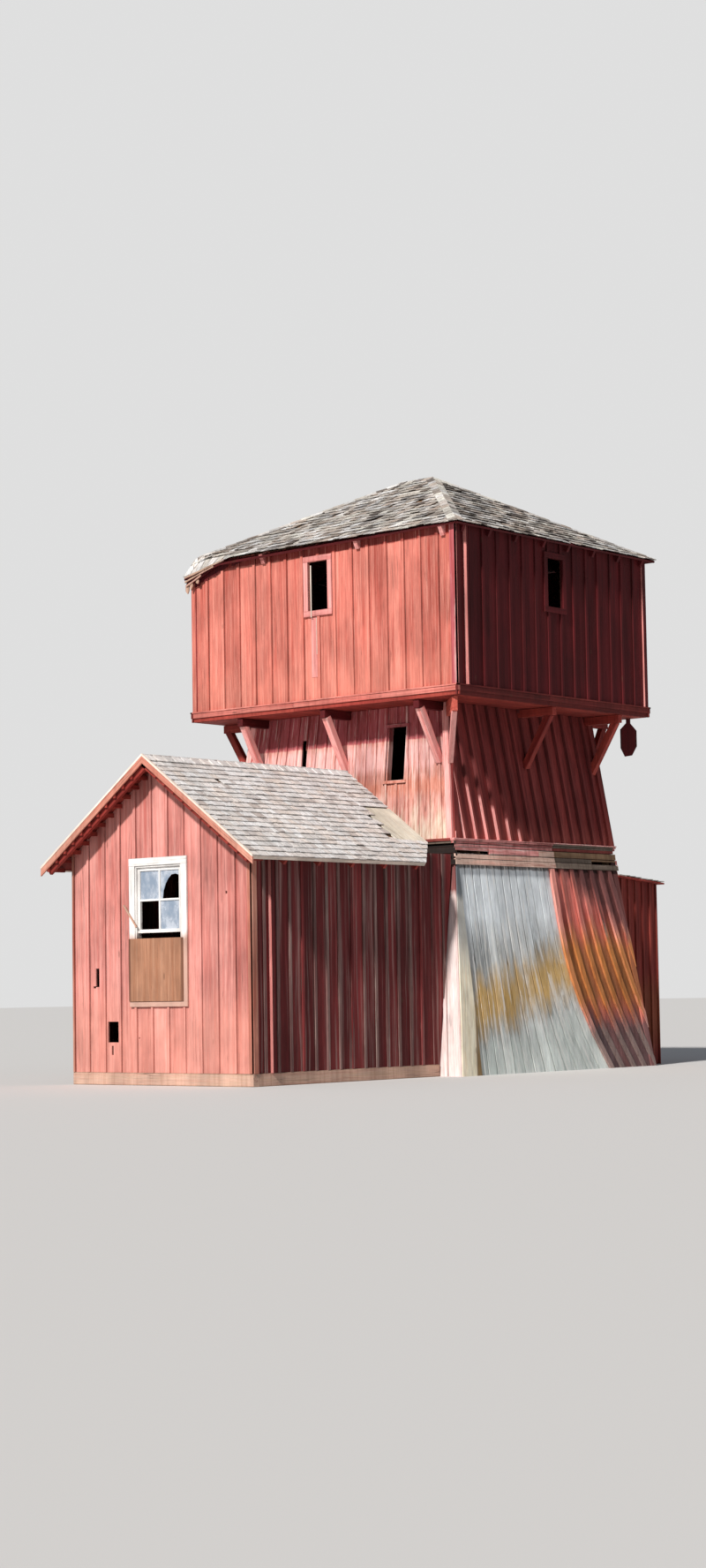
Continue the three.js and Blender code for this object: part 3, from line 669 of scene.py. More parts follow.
def boarding(pile, at, outline, joints, z_low, z_high, holes=(), batten=0.045, rise=0.016, slots=(0, 0), ragged=0.0,
             sides=None, bends=(), gaps=(0.001, 0.004)):
    """Boards between neighbouring joints and battens over the joints, trimmed to the outline."""
    rng = pile.rng
    heights = (*bends, z_high)
    for this, following in zip(joints, joints[1:]):
        gap = rng.uniform(*gaps)
        foot = z_low + rng.uniform(-ragged, ragged)
        strip = ribbon(lambda z: this(z) + gap, lambda z: following(z) - gap, foot,
                       foot + rng.uniform(-ragged, ragged) / 2, heights)
        tag, tilt = rng.random(), rng.uniform(-0.02, 0.02)
        front = -SINK - rng.uniform(0, 0.003)
        middle = lambda z: (this(z) + following(z)) / 2
        for shape in trimmed(strip, outline, holes):
            pile.prism(at, shape, front - BOARD_THICK, lambda a, z: front + tilt * (a - middle(z)), middle,
                       lambda z: max(0.02, (following(z) - this(z) - batten) / 2), slots[0], tag)
    for joint in joints if batten else ():
        wide = batten * rng.uniform(0.9, 1.1) / 2
        foot = z_low + rng.uniform(0, 2 * ragged)
        strip = ribbon(lambda z: joint(z) - wide, lambda z: joint(z) + wide, foot, foot, heights)
        tag, front = rng.random(), rise * rng.uniform(0.85, 1.1)
        slot = rng.choice(slots[1]) if isinstance(slots[1], tuple) else slots[1]
        for shape in trimmed(strip, outline, holes):
            pile.prism(at, shape, -SINK, front, joint, wide, slot, tag, sides)


def studs(pile, at, outline, spacing, z_low, z_high, a_low, a_high, slot=1, holes=()):
    """Upright studs behind the boards, seen only through openings."""
    count = max(2, round((a_high - a_low) / spacing))
    for i in range(count + 1):
        a = a_low + (a_high - a_low) * i / count
        for shape in trimmed(rectangle(a - STUD_HALF, a + STUD_HALF, z_low, z_high), outline, holes):
            pile.prism(at, shape, STUD_BACK, STUD_FRONT, a, STUD_HALF, slot)


def upright(pile, at, outline, x0, x1, z0, z1, front, slot, sides=None, half=None):
    """One upright board nailed over a wall."""
    pile.prism(at, within(rectangle(x0, x1, z0, z1), outline), -SINK, front, (x0 + x1) / 2, half or (x1 - x0) / 2,
               slot, sides=sides)


def corner_board(pile, at, turn, low, high, z_low, z_high, half, front, slot):
    """A board along the right (turn 1) or left (turn -1) end of a leaning wall."""
    line = lines([turn * (low - half)], [turn * (high - half)], z_low, z_high)[0]
    strip = ribbon(lambda z: line(z) - half, lambda z: line(z) + half, z_low, z_low, (z_high,))
    pile.prism(at, strip, -SINK, front, line, half, slot)


print("joints on a wall of 2 m:", [round(a, 2) for a in spread(0, 2, 0.287, random.Random(0))])

# %% [markdown]
# ## Tank room walls
# Four upright walls of 11 inch boards with a small unglazed window in the middle of each. The front
# is bleached by the sun, the others keep a deeper red, and narrow boards close the corners. One wall
# could be copied four times, but its joints and stains would repeat, so each draws its own boards.

# %% Tank room
TANK_FOOT, TANK_HEAD, ABOVE_TANK = 4.9105, 6.957, 7.0
TANK_BOARD = 0.287
CORNER_WIDE, CORNER_FRONT = 0.075, 0.021
WINDOW = (-0.17, 0.17, 6.08, 6.73)
SUNK_HEAD = TANK_HEAD - 0.075
SUNK_CORNER = {"front": left_of((-2.043, TANK_HEAD), (-2.291, SUNK_HEAD)),
               "left": left_of((2.119, SUNK_HEAD), (1.978, TANK_HEAD))}

for n, side in enumerate(SIDES):
    pile = Pile(100 + n)
    at, end, _, outline = battered(side, TANK, TANK_FOOT, TANK_HEAD)
    if side in SUNK_CORNER:
        outline = clip(outline, SUNK_CORNER[side])
    places = spread(-end, end, TANK_BOARD, pile.rng)
    boarding(pile, at, outline, lines(places, places, TANK_FOOT, TANK_HEAD), TANK_FOOT, ABOVE_TANK, holes=[WINDOW],
             ragged=0.004)
    studs(pile, at, outline, 0.6, TANK_FOOT, ABOVE_TANK, -end + 0.12, end - 0.12, holes=[WINDOW])
    nailed = [(-end, -end + CORNER_WIDE, TANK_FOOT, TANK_HEAD, CORNER_FRONT, 0),
              (end - CORNER_WIDE, end, TANK_FOOT, TANK_HEAD, CORNER_FRONT, 2 if side == "front" else 0)]
    if side == "right":
        nailed.append((-1.95, -1.91, TANK_FOOT, TANK_HEAD, 0.05, 0))
    if side == "front":
        nailed += [(-0.135, -0.02, 5.2, 5.99, 0.001, 4), (-0.045, -0.02, 5.5, 5.99, 0.0015, 3)]
    for *place, slot in nailed:
        upright(pile, at, outline, *place, slot, sides=2 if slot == 0 else None)
    # On the right wall the sides of the nailed uprights take the pink paint as painted sunlight.
    pile.make(f"tank_{side}_boards",
              [tank_lit if side == "front" else tank_deep, inside_wood, pink_bleach_and_painted_sun if side == "right" else mid_lit,
               cream_trim, pink_bleach_and_painted_sun], [f"tank_{side}_wall"], "red_boards")

# %% [markdown]
# ## Small window casings
# Flat boards frame the small openings. In a single board with a hole the grain would run the same way
# all round, so each casing is four lengths, the side pieces between head and sill, and a bevel
# modifier rounds their edges a little.

# %% Casings of the small windows
FRAME_FRONT = 0.024


def sideways(at, shape):
    """The same shape on the same face, with its grain level instead of upright."""
    return (lambda a, z, out: at(z, -a, out)), [(-z, a) for a, z in shape]


def plank(pile, at, x0, x1, z0, z1, back, front, slot=0, level=None):
    """One straight board on a face, with its grain along its longer side."""
    shape = rectangle(x0, x1, z0, z1)
    if x1 - x0 > z1 - z0 if level is None else level:
        at, shape = sideways(at, shape)
    across = [a for a, z in shape]
    pile.prism(at, shape, back, front, (min(across) + max(across)) / 2, (max(across) - min(across)) / 2, slot)


def casing(pile, at, hole, wide):
    """Head and sill boards over the whole width, with the two side boards between them."""
    x0, x1, z0, z1 = hole
    for low, high in ((z0 - wide, z0), (z1, z1 + wide)):
        plank(pile, at, x0 - wide, x1 + wide, low, high, 0.0, FRAME_FRONT)
    for low, high in ((x0 - wide, x0), (x1, x1 + wide)):
        plank(pile, at, low, high, z0, z1, 0.0, FRAME_FRONT - 0.002)


for n, side in enumerate(SIDES):
    pile = Pile(120 + n)
    casing(pile, wall_face(side, TANK), WINDOW, 0.075)
    if side == "front":
        plank(pile, wall_face(side, TANK), -0.112, -0.096, 5.99, 6.68, 0.0242, 0.036, 1)
    # The front casing is pink, partly bleaching and partly painted sunlight; the others take the darker side paint.
    pile.make(f"tank_{side}_casing", [pink_bleach_and_painted_sun if side == "front" else tank_deep, cream_trim],
              [f"tank_{side}_window_casing"], "red_trim", bevel=0.002)

# %% [markdown]
# ## Roof slopes
# Both roofs are split shingles on boards. A shingle texture looks right from afar, but the real
# shingles cup, slip and lose their neighbours, and that shows at the eaves. So they are laid one by
# one, each a thin wedge, thick at its butt, with the next course lying on its upper half. A slope is
# described by its eave, its pitch and how far it runs in; a point on it is given along the eave,
# inwards in plan, and out from its top face.

# %% Slope frames and shingles
SHINGLE_THICK, SHINGLE_RISE, SHINGLE_GAP = 0.009, 0.011, 0.002
DECK_THICK, DECK_START = 0.01, 0.012


def slope_face(eave_point, along, inward, eave_z, pitch, sag=None):
    """Places a point of a roof slope: along the eave, inwards in plan, and out from its top face."""
    out_axis = (UP - inward * pitch) / math.hypot(1, pitch)

    def at(u, v, out):
        drop = sag(u, v) if sag else 0.0
        return eave_point + along * u + inward * v + UP * (eave_z + pitch * v - drop) + out_axis * out

    return at


def shingling(pile, at, outline, pitch, u0, u1, run, missing, exposure=0.14, top=-0.030, skip=None, curl=0.006):
    """Courses of wedge shaped shingles from the eave up."""
    rng = pile.rng
    step = exposure / math.hypot(1, pitch)
    for course in range(int(run / step) + 1):
        v = course * step
        u = u0 - rng.uniform(0, 0.1)
        while u < u1:
            wide = rng.uniform(0.07, 0.17)
            butt = v + rng.uniform(-0.008, 0.006) + (0.004 if course == 0 else 0)
            left, right, head = u + SHINGLE_GAP, u + wide - SHINGLE_GAP, v + step + 0.03
            shape = [(left, butt), (right, butt + rng.uniform(-0.003, 0.003)), (right, head), (left, head)]
            centre = u + wide / 2
            u += wide
            if rng.random() < missing or (skip and skip(centre, v)):
                continue
            lift = rng.uniform(0, curl) * (3.0 if rng.random() < 0.05 else 1.0)
            lean = rng.uniform(-0.03, 0.03)

            def front(a, z):
                share = 1 - (z - v) / step
                return min(-0.0005, top + SHINGLE_RISE * share + max(0, share) * (lift + lean * (a - centre)))

            pile.prism(at, within(shape, outline), lambda a, z: front(a, z) - SHINGLE_THICK, front, centre, wide / 2)


def deck(pile, at, outline, u0, u1, run, slots, back=-0.068, front=-0.044):
    """Sheathing boards along the eave under the shingles, painted below and bare above."""
    v = DECK_START
    while v < run:
        wide = pile.rng.uniform(0.13, 0.17)
        strip = within(rectangle(u0, u1, v, v + wide - 0.006), outline)
        if strip:
            turned, shape = sideways(at, strip)
            upper = slots[0 if v == DECK_START else 1]
            for low, high, slot in ((back, back + DECK_THICK, slots[0]), (back + DECK_THICK + 0.0001, front, upper)):
                pile.prism(turned, shape, low, high, -(v + wide / 2), wide / 2, slot)
        v += wide


def rafters(pile, at, outline, places, run, slot=1, start=0.03, back=-0.16, front=-0.0685, wide=0.045):
    for u in places:
        strip = within(rectangle(u - wide / 2, u + wide / 2, start, run), outline)
        pile.prism(at, strip, back, front, u, wide / 2, slot)


steep = slope_face(Vector(), Vector((1, 0, 0)), Vector((0, 1, 0)), 0, 1)
print("one metre out of a slope of 45 degrees:", [round(v, 3) for v in steep(0, 0, 1)])

# %% [markdown]
# ## Shingle finish
# Weathered shingles are silver grey with tan and brown ones among them, dark at the joints and
# streaked along the grain. The board's own number picks its tone from a ramp, which gives the
# speckled look of an old roof without any repeat.

# %% Shingle materials
def shingle_finish(name, tones, streak, dark, fibres, joint, patches=(0.74, 1.15)):
    material, w, shader = new_material(name)
    grain = w.use(wood_grain, Fineness=0.8, Cracks=0.8)
    scale = w.node("ValToRGB", grain["Board"])
    stops = scale.node.color_ramp.elements
    for i, tone in enumerate(tones[1:-1]):
        stops.new((i + 1) / (len(tones) - 1))
    for stop, tone in zip(stops, tones):
        stop.color = colour(*tone)
    edge = w.maths("ABSOLUTE", w.node("Attribute", out=2, attribute_name="edge"))
    shade = w.blend(w.ramp(grain["Fibre"], 0.62, 0.35, 0.0, fibres), scale, (*dark, 1))
    shade = w.blend(grain["Crack"], shade, (0.02, 0.017, 0.014, 1))
    shade = w.blend(w.ramp(edge, 0.84, 1.0, 0.0, joint), shade, (0.035, 0.028, 0.024, 1))
    shade = weathered(w, shade, streak, (0.42, 0.36, 0.32), 0.3, 0.7, *patches)
    coated(w, shader, shade, w.ramp(grain["Fibre"], 0.3, 0.7, 0.92, 0.75), grain["Fibre"], 0.8, 0.006, 0.2)
    return material


tank_shingles = shingle_finish("tank shingles", [(144, 131, 123), (240, 238, 230), (198, 182, 170), (250, 250, 250),
                                                 (104, 93, 87)], 0.45, (0.08, 0.06, 0.05), 0.5, 0.9)
annex_shingles = shingle_finish("annex shingles", [(226, 222, 218), (250, 250, 250), (240, 230, 222), (250, 250, 250),
                                                   (204, 194, 188)], 0.3, (0.22, 0.17, 0.15), 0.4, 0.7, (0.92, 1.08))
print("with the shingles:", len(looks))

# %% [markdown]
# ## The hip roof
# Four slopes meet on the hips at a short ridge. The front left corner has rotted: its eave sinks from
# a fold line towards the tip. A lattice could pull the finished corner down, but the sink is itself a
# small slope, so the drop grows with the distance beyond the fold, and every course bends there.

# %% Tank roof
EAVE_Z, RIDGE_Z = 6.975, 8.121
EAVE_X, EAVE_Y, RIDGE_HALF = 2.424, 2.252, 0.282
SINKS_BY = 0.205
FOLDS = {"front": ((-1.45, 0), (-2.2526, 0.180), (-2.381, 0.045)), "left": ((2.072, 0.171), (1.65, 0), (2.207, 0.043))}
CAP_STEP, CAP_LONG, CAP_WIDE, CAP_THICK, CAP_SLANT = 0.15, 0.21, 0.10, 0.008, 0.05
CAPS_LOST = 0.04


def fold_sag(start, end, tip):
    """The drop beyond a fold line from start to end, full at the tip."""
    beyond = left_of(start, end)
    return lambda u, v: SINKS_BY * max(0.0, beyond((u, v)) / beyond(tip))


def hip_caps(pile, at, outline, p, q):
    """Short overlapping boards along a hip or the ridge, lapped from the eave up."""
    length = math.dist(p, q)
    across = ((q[0] - p[0]) / length, (q[1] - p[1]) / length)
    lapped = q[1] > p[1] or abs(p[1] - q[1]) < 0.1
    for i in range(int(length / CAP_STEP) + 1):
        t0, t1 = i * CAP_STEP, min(length, i * CAP_STEP + CAP_LONG)
        cap = [(p[0] + across[0] * t - across[1] * s, p[1] + across[1] * t + across[0] * s)
               for t, s in ((t0, 0), (t1, 0), (t1, CAP_WIDE), (t0, CAP_WIDE))]
        if pile.rng.random() < CAPS_LOST:
            continue

        def crown(a, z):
            t = (a - p[0]) * across[0] + (z - p[1]) * across[1] - t0
            return -0.004 - CAP_SLANT * (t if lapped else CAP_LONG - t)

        pile.prism(at, within(cap, outline), lambda a, z: crown(a, z) - CAP_THICK, crown, half=NO_EDGE)


for n, (side, along, inward) in enumerate((
    ("front", (1, 0, 0), (0, 1, 0)), ("right", (0, 1, 0), (-1, 0, 0)),
    ("back", (-1, 0, 0), (0, -1, 0)), ("left", (0, -1, 0), (1, 0, 0)),
)):
    half, reach, ridge = (EAVE_X, EAVE_Y, RIDGE_HALF) if side in CROSSWISE else (EAVE_Y, EAVE_X, 0.0)
    run = EAVE_Y if side in CROSSWISE else EAVE_X - RIDGE_HALF
    top = [(ridge, run), (-ridge, run)] if ridge else [(0, run)]
    outline, sag = [(-half, 0), (half, 0), *top], None
    if side in FOLDS:
        start, end, tip = FOLDS[side]
        sag = fold_sag(start, end, tip)
        outline = [tip, start, (half, 0), *top] if side == "front" else [(-half, 0), end, tip, *top]
    pitch = (RIDGE_Z - EAVE_Z) / run
    eave_middle = Vector((0, MIDDLE_Y, 0)) - Vector(inward) * reach
    at = slope_face(eave_middle, Vector(along), Vector(inward), EAVE_Z, pitch, sag)
    pile = Pile(140 + n)
    shingling(pile, at, outline, pitch, -half, half, run, missing=0.02, curl=0.012)
    deck(pile, at, outline, -half, half, run, (1, 3))
    # The front rafter tails take the pink paint as painted sunlight on their ends.
    if side == "front":
        rafters(pile, at, outline, (-0.95, 0.70, 2.11), run * 0.98, 2, start=0.015, back=-0.20, wide=0.06)
    else:
        rafters(pile, at, outline, spread(-half + 0.25, half - 0.25, 0.61, pile.rng), run * 0.98)
    for p, q in zip(outline, outline[1:] + outline[:1]):
        if abs(p[1] - q[1]) >= 0.1 or max(p[1], q[1]) >= run - 0.01:
            hip_caps(pile, at, outline, p, q)
    pile.make(f"tank_{side}_shingles", [tank_shingles, tank_deep, pink_bleach_and_painted_sun, inside_wood], [f"tank_{side}_roof"],
              "roof_shingles")

# %% [markdown]
# ## Rotted eave corner
# Under the sunken tip hang a few splintered ends of deck and rafter, pale where the rot has opened
# the wood. They could be cut from one lump, but splinters read better as separate thin pieces, each
# narrowed at its lower end. Behind them, ragged board ends close the wall's lowered head.

# %% Splinters at the sunken corner
def splinter(pile, at, a, head, foot, wide, front):
    """A board end that narrows to a broken point."""
    rng = pile.rng
    tip = a + rng.uniform(-0.3, 0.3) * wide
    shape = [(tip - wide * 0.12, foot), (tip + wide * 0.15, foot + rng.uniform(0, 0.03)),
             (a + wide / 2, foot + (head - foot) * rng.uniform(0.35, 0.6)), (a + wide / 2, head), (a - wide / 2, head),
             (a - wide / 2, foot + (head - foot) * rng.uniform(0.25, 0.5))]
    pile.prism(at, shape, front - 0.015, front, a, wide / 2)


pile = Pile(150)
corner_face = wall_face("front", straight(2.36, 2.20))
for a, head, foot, wide, out in ((-2.31, 6.66, 6.54, 0.06, 0.0), (-2.23, 6.68, 6.59, 0.05, 0.004),
                                 (-2.12, 6.72, 6.66, 0.05, 0.0)):
    splinter(pile, corner_face, a, head, foot, wide, out)
pile.prism(corner_face, [(-2.335, 6.62), (-2.02, 6.76), (-1.70, 6.90), (-2.335, 6.76)], -0.03, -0.012, half=NO_EDGE,
           slot=1)
for x0, z0, x1, z1, wide, out in (
    (-2.33, 6.762, -1.60, 6.93, 0.026, 0.022), (-2.335, 6.705, -1.80, 6.862, 0.022, 0.016),
    (-2.32, 6.645, -2.04, 6.765, 0.024, 0.010),
):
    pile.beam(corner_face(x0, z0, out), corner_face(x1, z1, out), TO_FRONT, wide, 0.014, waver=0.006)
pile.make("rotted_corner_splinters", [rotten_wood, tank_deep], slot="roof_shingles")

BACKING_WIDE = 0.075
pile = Pile(151)
for i in range(12):
    x0 = -2.285 + BACKING_WIDE * i
    head = min(6.955, 6.885 + 0.3 * (x0 + 2.29))
    foot = 6.60 + 0.26 * min(1.0, i / 9) + pile.rng.uniform(-0.02, 0.02)
    shape = [(x0, foot), (x0 + BACKING_WIDE, foot + pile.rng.uniform(-0.01, 0.03)), (x0 + BACKING_WIDE, head),
             (x0, head)]
    pile.prism(wall_face("front", TANK), shape, 0.0165, 0.0185, half=NO_EDGE)
pile.make("rotted_corner_backing", [tank_deep], slot="red_boards")

# %% [markdown]
# ## Floors and the tank room's rim
# Each storey has a floor of boards on joists. The tank room's stands out over the middle tier, so one
# sees its soffit boards from below, and all round it runs a fascia with a thin ledge that catches the
# light. A slab would do for each floor, but it would look blank through the openings.

# %% Floors, soffit and rim
SOFFIT = 4.7885


def flat_face(z0):
    """A level face seen from above: along X, back along Y, and up."""
    return lambda a, b, out: Vector((a, b, z0 + out))


def floor_boards(pile, x0, x1, y0, y1, top, thick, width=0.15, slot=0, along="x"):
    rng = pile.rng
    places = spread(*((y0, y1) if along == "x" else (x0, x1)), width, rng, 0.02)
    for a, b in zip(places, places[1:]):
        box = (x0, x1, a + 0.001, b - 0.002) if along == "x" else (a + 0.001, b - 0.002, y0, y1)
        plank(pile, flat_face(top), *box, -thick, rng.uniform(-0.002, 0), slot, level=along == "x")


def joisted_floor(seed, half, inset, boards, joists, spacing=0.45, soffit=None):
    """Boards (top, thickness, width) on joists (height, width, depth) between the walls of a tier."""
    pile = Pile(seed)
    fx, fy = (reach - inset for reach in half)
    floor_boards(pile, -fx, fx, MIDDLE_Y - fy, MIDDLE_Y + fy, *boards)
    if soffit:
        floor_boards(pile, -fx, fx, MIDDLE_Y - fy, MIDDLE_Y + fy, soffit, 0.02, 0.2, 1, along="y")
    z, wide, deep = joists
    for y in spread(MIDDLE_Y - fy + wide, MIDDLE_Y + fy - wide, spacing, pile.rng, 0):
        pile.beam(Vector((-fx, y, z)), Vector((fx, y, z)), UP, wide, deep)
    return pile


joisted_floor(160, TANK(0), 0.016, (4.910, 0.025, 0.14), (4.836, 0.05, 0.094), soffit=SOFFIT).make(
    "tank_floor_boards", [inside_wood, timber_deep], ["tank_floor"], "floor_timber")

pile = Pile(161)
for side in SIDES:
    at = wall_face(side, TANK)
    end = end_at(side, TANK, 5)
    lit = side == "front"
    cuts = [-end - 0.03, -end * 0.2 + pile.rng.uniform(-0.3, 0.3), end + 0.03]
    # The lower strip of the front rim is deep red as painted shade under the ledge; every board of the other sides
    # takes the shaded rim paint.
    for a, b in zip(cuts, cuts[1:]):
        plank(pile, at, a, b - 0.003, 4.824, 4.888, -0.014, 0.026 + pile.rng.uniform(-0.003, 0.003), 0 if lit else 2)
        plank(pile, at, a, b - 0.003, 4.772, 4.8235, -0.014, 0.010, 1 if lit else 2)
    plank(pile, at, -end - 0.035, end + 0.035, 4.890, 4.9098, -0.0002, 0.035, 0 if lit else 2)
pile.make("tank_rim_boards", [rim_paint, timber_deep, rim_deep], ["tank_rim"], "red_timber", bevel=0.002)

# %% [markdown]
# ## Knee braces
# Twelve braces carry the overhang: a level arm under the deck and a strut down to the middle tier.
# Each could be two plain boxes, but sawn timbers waver a little, and the light breaks along their
# edges, so the edges are drawn in five steps. Their ends run into the wall and into each other, as
# notched timbers do. The one at the front right stands on the diagonal of the corner.

# %% Braces
ARM_Z, STRUT_FOOT, STRUT_HEAD = 4.711, 3.995, 4.675
ARM, STRUT_WIDE, STRUT_DEEP = (0.088, 0.108), 0.086, 0.094
CORNER_ARM, CORNER_STRUT_WIDE = (0.069, 0.188), 0.068
CORNER = Vector((1.698, MIDDLE_Y - 1.563, 0))
DIAGONAL = Vector((1, -1, 0)).normalized()


def knee_brace(pile, reach, level, arm, foot, head, arm_size, strut_wide):
    """An arm (from, to, height) and a strut from foot to head; reach places a distance out and a height."""
    start, end, z = arm
    pile.beam(reach(start, z), reach(end, z), UP, *arm_size, waver=0.002)
    start, end = reach(*foot), reach(*head)
    pile.beam(start, end, (end - start).cross(level).normalized(), strut_wide, STRUT_DEEP, 1, waver=0.003)


for n, side in enumerate(SIDES):
    axis = 0 if side in ("right", "left") else 1
    names = ("left", "middle", "right") if axis else ("front", "middle", "back")
    places = (-1.45, 0.02, 1.6) if axis else (-1.5, -0.04, 1.48)
    tip = TANK(0)[axis] - 0.016
    for i, (name, place) in enumerate(zip(names, places)):
        a = place if side in ("front", "right") else -place
        out_from = wall_face(side, straight(0, 0))
        on_corner = (side, name) == ("right", "front")
        if on_corner:
            pile = Pile(199)
            knee_brace(pile, lambda out, z: CORNER + DIAGONAL * out + UP * z, Vector((1, 1, 0)), (-0.03, 0.714, 4.671),
                       (0.11, 3.99), (0.63, 4.60), CORNER_ARM, CORNER_STRUT_WIDE)
        else:
            pile = Pile(170 + 3 * n + i)
            knee_brace(pile, lambda out, z: out_from(a, z, out), out_from(1, 0, 0) - out_from(0, 0, 0),
                       (MID(4.71)[axis] - 0.02, tip, ARM_Z), (MID(4.0)[axis] - 0.01, STRUT_FOOT),
                       (tip - 0.075, STRUT_HEAD), ARM, STRUT_WIDE)
        # The arms of the front braces take the dark tank side paint as painted shade; the corner arm and the struts
        # take lighter paints as painted sunlight.
        paints = [timber_deep, timber_deep]
        if side == "front" or on_corner:
            paints = [brace_paint if on_corner else tank_deep, strut_paint]
        pile.make(f"{side}_brace_{name}_timbers", paints, [f"{side}_brace_{name}"], "red_timber", bevel=0.006)

# %% [markdown]
# ## Middle tier
# The walls lean in as they rise. The front shows narrow boards, bleached cream at their feet, with a
# small window and a gap where a strip has gone. Its joints close up towards the head. Those of the
# side walls could too, but the real ones stay parallel to the back corner, so a corner board cuts
# them off along the front one.

# %% Middle tier walls
MID_FOOT, MID_HEAD = 3.0, 4.766
MID_WINDOW = (0.72, 1.04, 3.8, 4.5)
MID_GAP = (-0.775, -0.685, 4.08, 4.44)

for n, side in enumerate(SIDES):
    pile = Pile(200 + n)
    at, low, high, outline = battered(side, MID, MID_FOOT, MID_HEAD)
    lit = side == "front"
    holes = [MID_WINDOW, MID_GAP] if lit else []
    if side in CROSSWISE:
        joints = fanned(low, high, MID_FOOT, MID_HEAD, 0.1, pile.rng)
    else:
        turn = 1 if side == "right" else -1
        places = spread(-low, low + 0.25, 0.235, pile.rng)
        places = places if turn > 0 else mirrored(places)
        joints = lines(places, [p - turn * (low - high) for p in places], MID_FOOT, MID_HEAD)
    # On the side and back walls the battens' sides take the low batten paint: painted sunlight below a painted shadow
    # line.
    boarding(pile, at, outline, joints, MID_FOOT, MID_HEAD, holes=holes, rise=0.014 if lit else 0.042,
             batten=0.035 if lit else 0.042, sides=2)
    studs(pile, at, outline, 0.55, MID_FOOT, MID_HEAD, -high + 0.15, high - 0.15, holes=holes)
    for turn in (-1, 1):
        corner_board(pile, at, turn, low, high, MID_FOOT, MID_HEAD, half=0.045, front=0.03, slot=3 if lit else 0)
    pile.make(f"mid_{side}_boards",
              [mid_lit if lit else mid_deep, inside_wood, mid_lit if lit else low_batten_painted_sun_and_shadow, strut_paint],
              [f"mid_{side}_wall"], "red_boards")

pile = Pile(210)
at = wall_face("front", MID)
casing(pile, at, MID_WINDOW, 0.04)
plank(pile, at, MID_WINDOW[0] + 0.0004, MID_WINDOW[0] + 0.02, 3.8005, 4.4995, -0.09, -0.001)
pile.make("mid_window_boards", [mid_lit], ["mid_window_casing"], "red_trim", bevel=0.002)

# %% [markdown]
# ## Belt between the tiers
# A weathered skirt sheds water off the base, with a painted band above it, a shadow gap, and a
# moulding under the middle tier. One long profile would be quicker, but the real ones are boards of
# odd lengths, butted end to end, and some have come a little loose or lost their lower edge.

# %% Skirt, band and moulding
MOULDING = straight(1.898, 1.763)


def runs(pile, at, ends, z0, z1, back, front, slots, shortest, longest, broken, later, turn_at):
    """Boards laid end to end along a side; some have lost their lower edge, and later slots serve the far part."""
    rng = pile.rng
    a = -ends
    while a < ends - 0.001:
        b = min(ends, a + rng.uniform(shortest, longest))
        b = turn_at if later and a < turn_at < b else ends if ends - b < shortest / 2 else b
        loose = rng.uniform(0, 0.004)
        lost = rng.uniform(0.3, 0.7) * (z1 - z0) if rng.random() < broken else rng.uniform(0, 0.004)
        plank(pile, at, a + 0.001, b - rng.uniform(0.002, 0.012), z0 + lost, z1 - rng.uniform(0, 0.003), back,
              lambda p, q: valued(front, p, q) - loose,
              rng.choice(later if later and a > turn_at - 0.001 else slots), level=True)
        a = b


pile = Pile(220)
for side in SIDES:
    end, wide = end_at(side, BASE, 2.8) + 0.02, end_at(side, BASE, 2.73) + 0.036
    # Towards the right end of the front the skirt boards are black as painted shade under the annex roof.
    far = {"front": ((4,), 1.28), "right": ((2, 2, 3, 5), 0.35)}.get(side, (None, 0))
    for ends, z0, z1, front, slots, shortest, longest, broken in (
        (wide, 2.6605, 2.735, lambda p, q: 0.039 + 0.05 * (2.66 + p), (0, 0, 2), 0.8, 2.0, 0.12),
        (wide - 0.01, 2.737, 2.80, lambda p, q: 0.033 + 0.05 * (2.73 + p), (0, 0, 1), 0.7, 2.2, 0.15),
        (end, 2.804, 2.885, 0.030, (1, 1, 0), 0.6, 1.8, 0.2),
        (end - 0.02, 2.888, 2.93, 0.008, (1, 3), 0.8, 2.2, 0.0),
    ):
        runs(pile, wall_face(side, BASE), ends, z0, z1, 0.0003, front, slots, shortest, longest, broken, *far)
pile.make("belt_skirt_boards", [skirt_wood, belt_paint, lichen_wood, mid_deep, black_painted_shade, inside_wood],
          ["belt_skirt"], "weathered_skirt")

# The top runs of the moulding take the pink paint as painted sunlight on the ledge.
pile = Pile(221)
for side in SIDES:
    for z0, z1, front, more, slots, shortest, longest, broken, far in (
        (2.984, 2.9998, 0.044, 0.044, (1, 2), 0.7, 1.8, 0.0, (0, 2)),
        (2.962, 2.983, 0.036, 0.036, (1, 2), 0.7, 1.8, 0.0, (0, 3)),
        (2.9305, 2.961, 0.020, 0.026, (0, 2), 0.8, 2.0, 0.1, (0, 3)),
    ):
        runs(pile, wall_face(side, MOULDING), end_at(side, MOULDING, 3) + more, z0, z1, -0.024, front, slots,
             shortest, longest, broken, far, 0.35)
pile.make("belt_moulding_boards", [mid_deep, pink_bleach_and_painted_sun, belt_paint, lichen_wood], ["belt_moulding"], "red_timber",
          bevel=0.002)
joisted_floor(222, MID(3.0), 0.0265, (3.0, 0.03, 0.14), (2.89, 0.05, 0.155)).make(
    "mid_floor_boards", [inside_wood], ["mid_floor"], "floor_timber")

# %% [markdown]
# ## Tower base
# The base spreads towards the ground. On the right side the paint has gone from more than half the
# wall: silver boards with a belt of ochre lichen, and behind them red boards that turn orange and then
# grey towards the ground. The boards stand nearly upright at the front corner and lean more and more
# towards the back, and a tapered corner board fills the wedge at the front.

